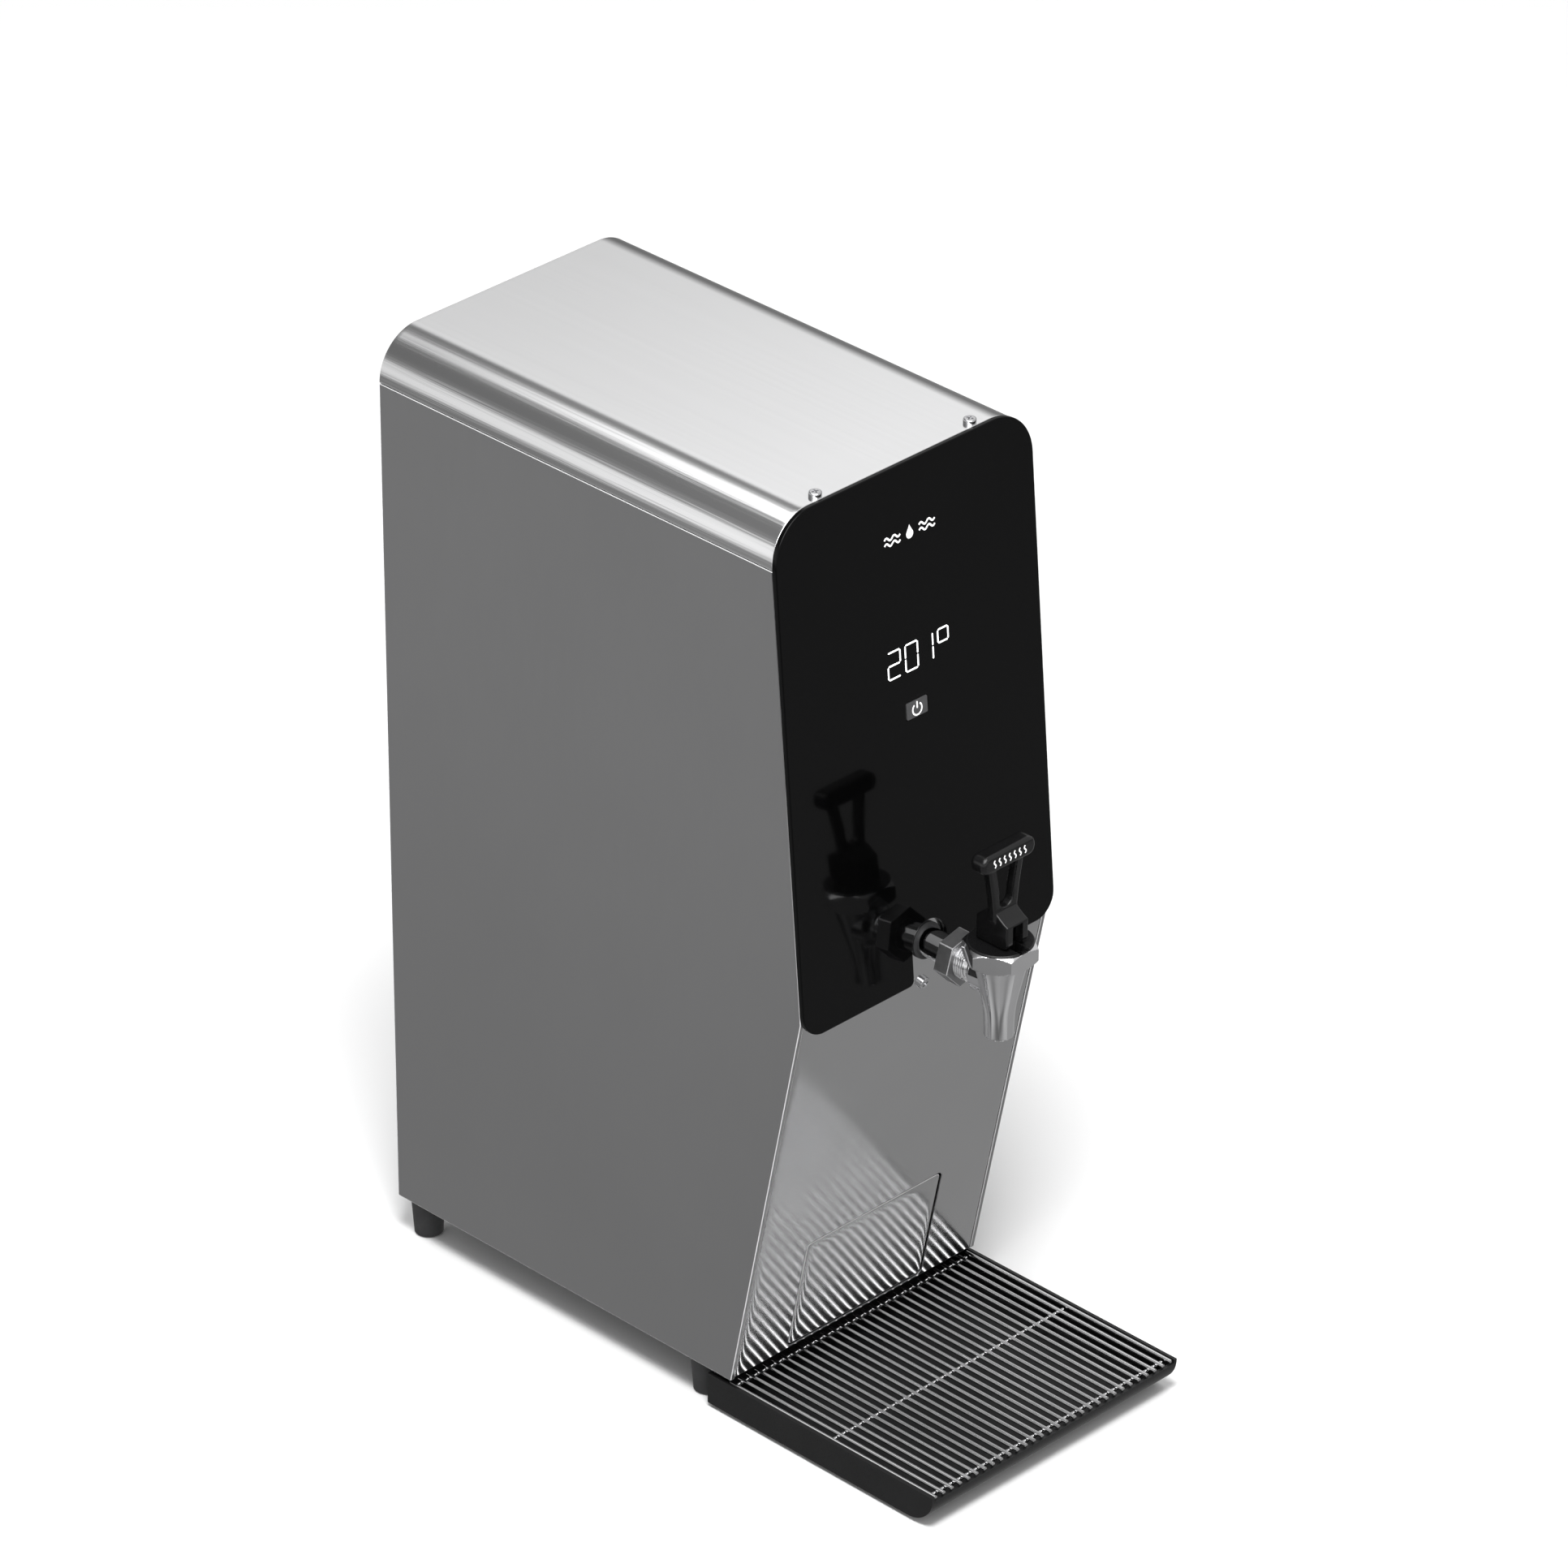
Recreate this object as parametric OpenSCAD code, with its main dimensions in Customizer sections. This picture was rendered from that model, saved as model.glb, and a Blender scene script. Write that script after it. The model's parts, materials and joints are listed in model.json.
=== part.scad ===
/* [Cabinet] */
// Width across the side panels
body_w = 211; // [207:0.5:213]
// Height of the cabinet above its feet
body_h = 598.9; // [594:0.1:604]
// Depth of the cabinet at its foot
body_d = 293.2; // [290:0.1:300]
// Height of the four feet
foot_h = 27; // [25:0.5:30]
// Radius of the two long bends of the top cover
bend_r = 30.5; // [28:0.5:33]
// Thickness of the casing sheet
sheet_t = 1; // [0.8:0.1:1.2]
// Width of the gap between two casing panels
seam = 0.3; // [0.2:0.05:0.4]

/* [Front] */
// Height of the crease where the front folds back
crease_z = 275.8; // [272:0.1:280]
// How far the crease stands in front of the foot edge
crease_out = 58.3; // [55:0.1:61]
// How far the front's top edge stands in front of the foot edge
brow_out = 32.3; // [30:0.1:35]
// Thickness of the glass fascia
glass_t = 3.5; // [3:0.1:4]
// How far the glass overhangs the crease
glass_drop = 9.8; // [8:0.1:12]
// Radius of the glass fascia's lower corners
glass_corner_r = 16; // [12:0.5:18]
// Half width and top radius of the notch in the glass round the tap
notch_r = 14.2; // [13.5:0.1:15]
// Half width of the access cover
cover_half = 57.4; // [50:0.1:60]
// Height of the access cover along the front
cover_len = 82; // [70:0.5:86]

/* [Controls] */
// Width of the power button
button_w = 17; // [15:0.1:18]
// Height of the power button
button_h = 10.7; // [9:0.1:12]
// Height of the power button's centre in the cabinet
button_z = 442.7; // [438:0.1:446]
// Travel of the power button
button_travel = 1; // [0.5:0.1:1]

/* [Tap] */
// Distance of the tap's upright axis in front of the foot edge
tap_out = 118; // [116:0.5:120]
// Height of the shank's axis in the cabinet
shank_z = 289.5; // [288:0.1:291]
// Outer radius of the shank tube
shank_r = 9.25; // [9:0.05:9.4]
// Radius of the spout at its lip
spout_r = 8.95; // [8.5:0.05:9.2]
// Height of the spout's lip in the cabinet
lip_z = 250.5; // [248:0.1:254]
// Distance across the flats of the tap's collar
collar_af = 40.2; // [39:0.1:41]
// Half length of the handle's grip bar
grip_half = 22; // [20:0.5:24]
// Full travel of the handle, in degrees
handle_travel = 28; // [20:1:28]
// Radius of the handle's pin
pin_r = 1.5; // [1.3:0.05:1.5]
// Radius of the tap's stem
stem_r = 3.92; // [3.9:0.01:3.95]

/* [Drip tray] */
// Half width of the drip tray
tray_half = 106; // [105:0.5:107]
// How far the tray stands in front of the foot edge
tray_out = 170.1; // [165:0.1:175]
// How far the tray reaches under the cabinet
tray_tuck = 19.4; // [15:0.1:20]
// Depth of the tray's rim below the cabinet
rim_drop = 3.25; // [3:0.05:3.5]
// Height of the tray body
tray_h = 21.1; // [20:0.1:22]
// Diameter of the grille wires
wire_d = 2.5; // [2.2:0.1:2.6]
// Spacing of the long grille wires
wire_pitch = 7.05; // [7:0.01:7.06]
// Number of long grille wires
wire_count = 30; // [30:1:30]

/* [Hidden] */
$fn = 48;

// Casing
half_w = body_w / 2;
lean_up = atan((crease_out - brow_out) / (body_h - crease_z));
lean_low = atan(crease_out / crease_z);
upper_len = norm([crease_out - brow_out, body_h - crease_z]);
lower_len = norm([crease_out, crease_z]);
seam_z = body_h - bend_r;
lip_w = 3.2;
front_half = half_w - lip_w - 2 * seam;
return_d = 8;
glass_half = half_w + 0.5;
glass_top = upper_len + 0.3;
display_x = 3.5;
display_z = 476.4;
display_w = 57;
display_h = 23;
front_screw_z = 259.5;
top_screw_x = 63.5;
top_screw_y = 4.9 - brow_out;
hatch_gap = 0.4;
hatch_foot = 2.9;

// Rear fittings
fitting_out = 16;
inlet_x = 40;
inlet_z = 60;
inlet_r = 13.2;
gland_x = -60;
gland_z = 60;
gland_bore_r = 4;
spigot_z = 30;
spigot_r = 6;
rear_y = body_d + fitting_out;
seat_y = (tray_out - rear_y) / 2;

// Tap
tap_y = -tap_out;
collar_z = lip_z + 52;
collar_h = 11.7;
bonnet_top = collar_z + collar_h + 1.3;
heel_r = 5;
heel_y = tap_y - 8.8;
heel_z = bonnet_top + seam + heel_r;
pin_z = heel_z + 3.7;
block_half = 8.9;
block_front = heel_y - heel_r;
block_back = block_front + 25.4;
slot_half = 4.2;
grip_z = heel_z + 53.4;
grip_r = 5.7;
chamber_z = lip_z + 32.5;
pin_rise = 8.8 * sin(handle_travel) - 3.7 * (1 - cos(handle_travel));
pin_shift = 8.8 * (1 - cos(handle_travel)) + 3.7 * sin(handle_travel);
nut_back = -79.7;
nut_len = 10.8;
thread_r = 10.48;

// Tank
tank_y = 150;
tank_r = 78;
tank_foot = 196;
tank_top = 500;
port_r = 5;
pipe_r = 6;
pipe_wall = 1.5;
bend = 14;
stand_leg = 53;
drain_x = -40;
drain_y = 48;
drain_z = 50;

foot_x = half_w - 14;
foot_y = [33.5, 281];

// Places a part drawn from the foot edge of the front into the row frame
module seat() translate([0, seat_y, foot_h]) children();

// Frames on the two front planes: X across, Y up the slope, Z outwards
module on_upper(v = 0, n = 0)
    translate([0, -crease_out, crease_z]) rotate([90 - lean_up, 0, 0]) translate([0, v, n]) children();
module on_lower(v = 0, n = 0)
    rotate([90 + lean_low, 0, 0]) translate([0, v, n]) children();
function up_v(z) = (z - crease_z) / cos(lean_up);
function low_v(z) = z / cos(lean_low);

module ycyl(r, y0, y1, x = 0, z = 0)
    translate([x, y0, z]) rotate([-90, 0, 0]) cylinder(r = r, h = y1 - y0);
module xcyl(r, x0, x1, y, z)
    translate([x0, y, z]) rotate([0, 90, 0]) cylinder(r = r, h = x1 - x0);
module zcyl(r, z0, z1, x = 0, y = 0)
    translate([x, y, z0]) cylinder(r = r, h = z1 - z0);
module block(p, q) translate(p) cube(q - p);
module tube(r_out, r_in, h) difference() {
    cylinder(r = r_out, h = h);
    translate([0, 0, -1]) cylinder(r = r_in, h = h + 2);
}

// Upright outline with two rounded upper corners
module arch(half, r, top, bottom) {
    translate([-half, bottom]) square([2 * half, top - r - bottom]);
    translate([r - half, bottom]) square([2 * (half - r), top - bottom]);
    for (s = [-1, 1]) translate([s * (half - r), top - r]) circle(r = r);
}
module rounded(w, h, r) {
    square([w - 2 * r, h], center = true);
    square([w, h - 2 * r], center = true);
    for (sx = [-1, 1], sy = [-1, 1])
        translate([sx * (w / 2 - r), sy * (h / 2 - r)]) circle(r = r);
}
// Extrudes an upright outline from the back towards the front
module along_y(y_back, len)
    translate([0, y_back, 0]) rotate([90, 0, 0]) linear_extrude(len) children();
// Extrudes a side outline (Y, Z) across the body
module across(x0, x1)
    translate([x0, 0, 0]) rotate([90, 0, 90]) linear_extrude(x1 - x0) children();

// Pan-head screw on the plane z = 0, with a cross recess
module pan_screw(head_r = 4, head_h = 2.9, shank = 2, len = 10) {
    difference() {
        rotate_extrude() union() {
            square([head_r, head_h - 1]);
            square([head_r - 1, head_h]);
            translate([head_r - 1, head_h - 1]) circle(r = 1);
        }
        for (a = [0, 90]) rotate(a) translate([-2.2, -0.5, head_h - 1.2]) cube([4.4, 1, 2]);
    }
    translate([0, 0, -len]) cylinder(r = shank, h = len + 0.1);
}

// One turn-by-turn coil of round wire along +Z
module coil(r, wire_r, pitch, turns, sides = 8, steps = 20) {
    rings = turns * steps;
    points = [
        for (i = [0 : rings], k = [0 : sides - 1])
            let (a = 360 * i / steps, b = 360 * k / sides, q = r + wire_r * cos(b))
            [q * cos(a), q * sin(a), pitch * i / steps + wire_r * sin(b)]
    ];
    walls = [
        for (i = [0 : rings - 1], k = [0 : sides - 1])
            let (m = (k + 1) % sides)
            [i * sides + k, (i + 1) * sides + k, (i + 1) * sides + m, i * sides + m]
    ];
    caps = [
        [for (k = [0 : sides - 1]) k],
        [for (k = [sides - 1 : -1 : 0]) rings * sides + k]
    ];
    polyhedron(points = points, faces = concat(walls, caps));
}

// ---- Casing ----

module side_outline() polygon([
    [0, 0],
    [-crease_out, crease_z],
    [-crease_out + (seam_z - seam - crease_z) * tan(lean_up), seam_z - seam],
    [body_d, seam_z - seam],
    [body_d, 0]
]);

module side_panel(side) seat() mirror([side < 0 ? 1 : 0, 0, 0]) {
    inner = half_w - sheet_t;
    across(inner, half_w) side_outline();
    on_lower() translate([half_w - lip_w, 0, -sheet_t]) cube([lip_w, lower_len, sheet_t]);
    on_upper() translate([half_w - lip_w, 0, -sheet_t])
        cube([lip_w, up_v(seam_z - 1), sheet_t]);
    block([inner - 12, body_d - 2.1, 3], [inner, body_d - 1.1, seam_z - 2]);
    block([inner - 5, 6, 1.3], [inner, body_d - 2, 2.3]);
    block([inner - 1.5, -20, seam_z - 12], [inner, body_d - 12, seam_z - 2]);
    block([inner - 1.5, -20, seam_z - 12], [inner - 0.6, body_d - 12, seam_z + 3]);
}
module side_panel_left() color("#7d7f80") side_panel(-1);
module side_panel_right() color("#7d7f80") side_panel(1);

module top_cover() color("#c9cbcc") seat() difference() {
    along_y(body_d, body_d + crease_out) difference() {
        arch(half_w, bend_r, body_h, seam_z - 1);
        arch(half_w - sheet_t, bend_r - sheet_t, body_h - sheet_t, seam_z - 5);
        translate([-half_w - 1, 0]) square([body_w + 2, seam_z + seam]);
    }
    on_upper(-10) translate([-body_w, 0, 0]) cube([2 * body_w, body_h, 90]);
    for (s = [-1, 1]) zcyl(2.2, body_h - 5, body_h + 5, s * top_screw_x, top_screw_y);
}

module vent_slots() for (s = [-1, 1], i = [0 : 9])
    block([s * 50 - 24, body_d - 5, 430 + 9 * i], [s * 50 + 24, body_d + 5, 433 + 9 * i]);

module rear_panel() color("#8c8e90") seat() difference() {
    along_y(body_d, sheet_t)
        arch(half_w - sheet_t - seam, bend_r - sheet_t - seam, body_h - sheet_t - seam, 0);
    vent_slots();
    ycyl(inlet_r + 0.4, body_d - 5, body_d + 5, inlet_x, inlet_z);
    ycyl(8.3, body_d - 5, body_d + 5, gland_x, gland_z);
    ycyl(spigot_r + 0.4, body_d - 5, body_d + 5, 0, spigot_z);
    rear_screw_places() cylinder(r = 2.2, h = 10, center = true);
}

module base_plate() color("#8c8e90") seat() difference() {
    block([-half_w + sheet_t + seam, 1.1, 0], [half_w - sheet_t - seam, body_d - 1.3, 1.2]);
    foot_places() cylinder(r = 4.2, h = 10, center = true);
}

module hatch_outline(gap) {
    half = cover_half + gap;
    top = hatch_foot + cover_len + gap;
    arch(half, 4 + gap, top, hatch_foot - gap);
}

// Side outline of the folded front sheet, from its foot past the top of the cabinet
module folded_outline() {
    foot = 1.2 * [-sin(lean_low), cos(lean_low)];
    crease = [-crease_out, crease_z];
    top = crease + (upper_len + 9) * [sin(lean_up), cos(lean_up)];
    tilt = (lean_low - lean_up) / 2;
    polygon([
        foot, crease, top,
        top + sheet_t * [cos(lean_up), -sin(lean_up)],
        crease + sheet_t / cos(lean_low - tilt) * [cos(tilt), sin(tilt)],
        foot + sheet_t * [cos(lean_low), sin(lean_low)]
    ]);
}
module front_panel() color("#9a9c9e") seat() difference() {
    union() {
        intersection() {
            across(-body_w, body_w) folded_outline();
            on_upper(0, -100) linear_extrude(110)
                arch(front_half, bend_r - 4, up_v(body_h - 2), -body_h);
        }
        for (s = [-1, 1]) translate([s * (front_half - 0.7) - 0.4, 0, 0]) {
            on_upper(0.5, -return_d) cube([0.8, up_v(body_h - 36), return_d - 0.3]);
            on_lower(4, -return_d) cube([0.8, lower_len - 4.5, return_d - 0.3]);
        }
        block([3 - front_half, 0.3, 1.3], [front_half - 3, 14, 2.3]);
        block([-72, 0.2 - brow_out, body_h - 2.4], [72, 17 - brow_out, body_h - 1.3]);
    }
    on_upper(up_v(display_z)) translate([display_x, 0, 0])
        cube([display_w + 1, display_h + 1, 10], center = true);
    on_upper(up_v(button_z)) cube([button_w + 1, button_h + 1, 10], center = true);
    on_upper(up_v(shank_z), -20) cylinder(r = 10.6, h = 40);
    on_lower(low_v(front_screw_z), -5) cylinder(r = 2.2, h = 10);
    on_lower(0, -3) linear_extrude(6) hatch_outline(hatch_gap);
    for (s = [-1, 1]) zcyl(2.2, body_h - 5, body_h + 5, s * top_screw_x, top_screw_y);
}

module glass_outline() {
    foot = -glass_drop;
    r = glass_corner_r;
    difference() {
        union() {
            arch(glass_half, bend_r + 0.5, glass_top, foot + r);
            translate([r - glass_half, foot]) square([2 * (glass_half - r), r + 1]);
            for (s = [-1, 1]) translate([s * (glass_half - r), foot + r]) circle(r = r);
        }
        union() {
            translate([0, up_v(shank_z)]) circle(r = notch_r);
            translate([-notch_r, foot - 2]) square([2 * notch_r, up_v(shank_z) - foot + 2]);
            polygon([
                [-notch_r - 3.5, foot - 2], [-notch_r - 3.5, foot], [-notch_r - 1.1, foot + 1.1],
                [-notch_r + 0.1, foot + 4], [notch_r - 0.1, foot + 4], [notch_r + 1.1, foot + 1.1],
                [notch_r + 3.5, foot], [notch_r + 3.5, foot - 2]
            ]);
        }
        translate([0, up_v(button_z)]) rounded(button_w + 0.7, button_h + 0.7, 1.2);
    }
}
module fascia_glass() color("#151617") seat() on_upper(0, 0.05)
    linear_extrude(glass_t) glass_outline();

// Section of the access cover across its height, with a rolled lower edge that it tips on
module cover_section() {
    roll = sheet_t / 2;
    translate([hatch_foot + roll, -roll]) circle(r = roll);
    translate([hatch_foot + roll, -sheet_t]) square([cover_len, sheet_t]);
}
module access_cover() color("#9a9c9e") seat() {
    intersection() {
        on_lower(0, -sheet_t - 1) linear_extrude(sheet_t + 2) hatch_outline(0);
        on_lower() rotate([90, 0, 90]) translate([0, 0, -body_w / 2]) linear_extrude(body_w)
            cover_section();
    }
    for (s = [-1, 1]) on_lower(hatch_foot + 5, -7) translate([s * (cover_half - 5), 0, 0])
        translate([-sheet_t / 2, 0, 0]) cube([sheet_t, cover_len - 12, 7]);
}

// Magnets above the opening that hold the top of the access cover
module cover_magnets() color("#3a3a3c") seat() on_lower(hatch_foot + cover_len) for (s = [-1, 1]) {
    translate([s * 38 - 7, -9, -9]) cube([14, 20, 8 - seam]);
    translate([s * 38 - 7, 2, -9]) cube([14, 9, 8]);
}

module cover_screws() color("#c4c6c8") seat() for (s = [-1, 1])
    translate([s * top_screw_x, top_screw_y, body_h]) rotate(20 * s) pan_screw(len = 9);

module front_screw() color("#c4c6c8") seat()
    on_lower(low_v(front_screw_z)) rotate(30) pan_screw(len = 8);

module rear_screw_places() for (s = [-1, 1], z = [150, 350, 540])
    translate([s * (half_w - 9), body_d, z]) rotate([-90, 0, 0]) children();
module rear_screws() color("#c4c6c8") seat() rear_screw_places()
    pan_screw(head_r = 3.5, head_h = 2.4, shank = 1.6, len = 1);

module foot_places() for (s = [-1, 1], y = foot_y) translate([s * foot_x, y, 0]) children();
module feet() color("#1c1c1d") seat() foot_places() {
    rotate_extrude() polygon([
        [0, -foot_h], [8.3, -foot_h], [9.1, 0.8 - foot_h], [10.8, -1.5], [10.8, 0], [0, 0]
    ]);
    cylinder(r = 4, h = 9);
}
module foot_nuts() color("#b9bbbd") seat() foot_places()
    translate([0, 0, 1.2]) difference() {
        cylinder(r = 7, h = 5, $fn = 6);
        translate([0, 0, -1]) cylinder(r = 4.05, h = 7, $fn = 48);
    }

// ---- Controls ----

module display_module() color("#2b2d2f") seat() on_upper(up_v(display_z), -12)
    translate([display_x - display_w / 2, -display_h / 2, 0]) cube([display_w, display_h, 11.9]);

module control_board() color("#1f5c3a") seat() on_upper(up_v(455), -13.6) {
    translate([-60, -75, 0]) cube([120, 150, 1.6]);
    translate([-45, -60, -18]) cube([28, 30, 18]);
    translate([-10, -62, -12]) cube([22, 16, 12]);
    translate([20, -60, -24]) cube([26, 40, 24]);
    translate([-40, 10, -10]) cube([80, 12, 10]);
    translate([-3, up_v(button_z) - up_v(455) - 3, 1.6]) cube([6, 6, 3.6]);
}
module board_standoffs() color("#cfc7a8") seat() for (s = [-1, 1], z = [-68, 68])
    on_upper(up_v(455) + z, -12) translate([s * 54, 0, 0]) cylinder(r = 3, h = 12 - sheet_t);

module power_button() color("#5a5c5e") seat() on_upper(up_v(button_z)) {
    translate([0, 0, -2]) linear_extrude(glass_t + 2.3) rounded(button_w, button_h, 0.9);
    translate([0, 0, -3.2]) linear_extrude(1.8) rounded(button_w + 4, button_h + 4, 0.9);
    translate([0, 0, button_travel - 8]) cylinder(r = 1.6, h = 5.5 - button_travel);
}

// ---- Shank ----

module shank_tube() color("#c8cacc") seat() difference() {
    union() {
        ycyl(shank_r, nut_back - 4.4, 40, 0, shank_z);
        ycyl(10.3, nut_back - 4.5, nut_back - 2.5, 0, shank_z);
    }
    ycyl(7.5, nut_back - 6, 45, 0, shank_z);
}
module shank_grommet() color("#1a1a1b") seat() difference() {
    on_upper(up_v(shank_z)) {
        cylinder(r = 11.7, h = 1.6);
        translate([0, 0, -sheet_t]) cylinder(r = 10.5, h = sheet_t + 0.1);
        translate([0, 0, -sheet_t - 1.6]) cylinder(r = 11.7, h = 1.6);
    }
    ycyl(shank_r + 0.05, -80, -30, 0, shank_z);
}
module shank_nut() color("#6e7073") seat() difference() {
    translate([0, nut_back, shank_z]) rotate([90, 17, 0]) rotate(30)
        cylinder(r = 17.1, h = nut_len, $fn = 6);
    ycyl(shank_r + 0.05, nut_back - 5, nut_back + 1, 0, shank_z);
    ycyl(thread_r + 0.04, nut_back - nut_len - 1, nut_back - 2.5, 0, shank_z);
}
module shank_washer() color("#e8e8e8") seat() difference() {
    ycyl(10.2, nut_back - 6, nut_back - 4.5, 0, shank_z);
    ycyl(7.5, nut_back - 7, nut_back - 4, 0, shank_z);
}

// ---- Tap ----

// Radius of the spout at a height: straight at the lip, then flaring to a cone
function flare(z) = let (d = z - lip_z - 18.5, soft = 8)
    spout_r + 0.255 * (sqrt(d * d + soft * soft) + d) / 2;
module spout_outline() polygon(concat(
    [[0, collar_z], [0, lip_z]],
    [for (i = [0 : 10]) let (z = lip_z + (collar_z - lip_z) * i / 10) [flare(z), z]]
));

module tap_body() color("#cfd1d3") seat() difference() {
    union() {
        translate([0, tap_y, 0]) rotate_extrude() spout_outline();
        intersection() {
            translate([0, tap_y, collar_z]) cylinder(d = collar_af / cos(30), h = collar_h, $fn = 6);
            translate([0, tap_y, collar_z]) rotate_extrude() polygon([
                [0, 0], [20.5, 0], [23.5, 1.8], [23.5, collar_h - 2.4], [19.8, collar_h], [0, collar_h]
            ]);
        }
        ycyl(thread_r, tap_y + 6, nut_back - 6, 0, shank_z);
    }
    zcyl(6.5, lip_z - 1, lip_z + 25.8, 0, tap_y);
    zcyl(5.5, lip_z + 24.8, chamber_z + 1, 0, tap_y);
    zcyl(10.5, chamber_z, collar_z + 1, 0, tap_y);
    zcyl(15.5, collar_z + 0.5, collar_z + collar_h + 1, 0, tap_y);
    ycyl(6.5, tap_y + 2, nut_back, 0, shank_z);
}

module tap_bonnet() color("#1d1e1f") seat() difference() {
    union() {
        zcyl(15.4, collar_z + 0.6, collar_z + collar_h, 0, tap_y);
        translate([0, tap_y, collar_z + collar_h]) rotate_extrude()
            polygon([[0, 0], [20.2, 0], [20.2, 0.7], [19.6, 1.3], [0, 1.3]]);
    }
    zcyl(stem_r + 0.08, collar_z - 1, bonnet_top + 1, 0, tap_y);
    block([-slot_half, tap_y - 21, collar_z + 4], [slot_half, tap_y - 7, bonnet_top + 1]);
}

module tap_stem() color("#c4c6c8") seat() difference() {
    union() {
        zcyl(stem_r, chamber_z + 2.5, bonnet_top + 2.5, 0, tap_y);
        block([-2.5, tap_y - pin_shift - 3.7, bonnet_top + 1], [2.5, tap_y + 3.7, pin_z + 3.8]);
    }
    for (d = [-pin_shift - 0.35, 0.35])
        xcyl(pin_r + 0.32, -5, 5, tap_y + d, pin_z);
    block([-5, tap_y - pin_shift - 0.35, pin_z - pin_r - 0.32], [5, tap_y + 0.35, pin_z + pin_r + 0.32]);
}

module seat_cup() color("#d8d2c4") seat() translate([0, tap_y, chamber_z]) difference() {
    rotate_extrude() polygon([[0, 0.3], [7, 0.3], [9.3, 1.5], [9.3, 4], [6, 8], [0, 8]]);
    translate([0, 0, 2.5]) cylinder(r = stem_r, h = 8);
}

module tap_spring() color("#b8babc") seat()
    translate([0, tap_y, chamber_z + 8.7]) coil(r = 5.4, wire_r = 0.5, pitch = 2.6, turns = 4);

module handle_outline() polygon([
    [block_front, heel_z], [block_front, heel_z + 11.2], [block_front + 9.3, heel_z + 17.7],
    [block_back - 7, heel_z + 16.9], [block_back, heel_z + 10.9], [block_back, heel_z - heel_r],
    [heel_y, heel_z - heel_r], [heel_y, heel_z]
]);
module tap_handle() color("#1d1e1f") seat() difference() {
    union() {
        across(-block_half, block_half) handle_outline();
        xcyl(heel_r, -block_half, block_half, heel_y, heel_z);
        along_y(block_back - 9.6, 6.4) difference() {
            polygon([
                [-9.9, heel_z + 12], [9.9, heel_z + 12], [16.6, grip_z], [-16.6, grip_z]
            ]);
            polygon([[-5, heel_z + 21], [5, heel_z + 21], [10.8, grip_z + 1], [-10.8, grip_z + 1]]);
            translate([0, heel_z + 21]) circle(r = 5);
        }
        xcyl(grip_r, grip_r - grip_half, grip_half - grip_r, block_back - 12.6, grip_z);
        for (s = [-1, 1]) translate([s * (grip_half - grip_r), block_back - 12.6, grip_z])
            sphere(r = grip_r);
    }
    block([-slot_half, block_front - 1, heel_z - 7], [slot_half, block_back - 3.1, heel_z + 10.2]);
    xcyl(pin_r + 0.02, -10, 10, tap_y, pin_z);
}
module handle_pin() color("#c4c6c8") seat()
    xcyl(pin_r, -block_half + 0.2, block_half - 0.2, tap_y, pin_z);

// ---- Drip tray ----

rim_z = -rim_drop;
tray_foot = rim_z - tray_h;
nose_y = tray_h - tray_out;
ledge_z = rim_z - 2 * wire_d;
wire_z = rim_z - wire_d / 2;
cross_z = wire_z - wire_d + 0.3;
well_edge = 8;

module tray_solid(shrink) {
    r = tray_h - shrink;
    xcyl(r, shrink - tray_half, tray_half - shrink, nose_y, rim_z);
    block([shrink - tray_half, nose_y, rim_z - r], [tray_half - shrink, tray_tuck - shrink, rim_z]);
}
module drip_tray() color("#1f2021") seat() difference() {
    tray_solid(0);
    block([-tray_half - 1, -tray_out - 9, rim_z], [tray_half + 1, tray_tuck, rim_z + tray_h + 2]);
    intersection() {
        tray_solid(2.6);
        block([well_edge - tray_half, -tray_out, tray_foot], [tray_half - well_edge, tray_tuck, rim_z + 1]);
    }
    block([2 - tray_half, 2.6 - tray_out, ledge_z], [tray_half - 2, tray_tuck - 2.6, rim_z + 1]);
    block([2 - tray_half, -tray_out - 1, rim_z - wire_d - seam], [tray_half - 2, 4 - tray_out, rim_z + 1]);
}
module tray_pads() color("#2a2a2b") seat() for (s = [-1, 1], y = [nose_y + 8, tray_tuck - 14])
    zcyl(7, -foot_h, tray_foot, s * (tray_half - 16), y);

module drip_grille() color("#d4d6d8") seat() {
    for (i = [0 : wire_count - 1])
        ycyl(wire_d / 2, 1.4 - tray_out, 3, (i - (wire_count - 1) / 2) * wire_pitch, wire_z);
    for (y = [7.4 - tray_out, 89.3 - tray_out, 1.1])
        xcyl(wire_d / 2, 6 - tray_half, tray_half - 6, y, cross_z);
}

// ---- Tank and its pipes ----

module tank() color("#b4b6b8") seat() difference() {
    union() {
        zcyl(tank_r, tank_foot, tank_top, 0, tank_y);
        zcyl(tank_r + 6, tank_top - 2, tank_top, 0, tank_y);
        ycyl(shank_r, tank_y - tank_r - 16, tank_y - tank_r + 5, 0, shank_z);
        zcyl(port_r, tank_foot - 16, tank_foot + 1, inlet_x, tank_y + 30);
        zcyl(port_r, tank_foot - 16, tank_foot + 1, drain_x, tank_y - 30);
    }
    zcyl(tank_r - 1, tank_foot + 1, tank_top + 1, 0, tank_y);
    ycyl(7.5, tank_y - tank_r - 20, tank_y - tank_r + 20, 0, shank_z);
    zcyl(3.5, tank_foot - 20, tank_foot + 5, inlet_x, tank_y + 30);
    zcyl(3.5, tank_foot - 20, tank_foot + 5, drain_x, tank_y - 30);
    zcyl(16.1, tank_foot - 5, tank_foot + 5, 0, tank_y);
}

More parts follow.
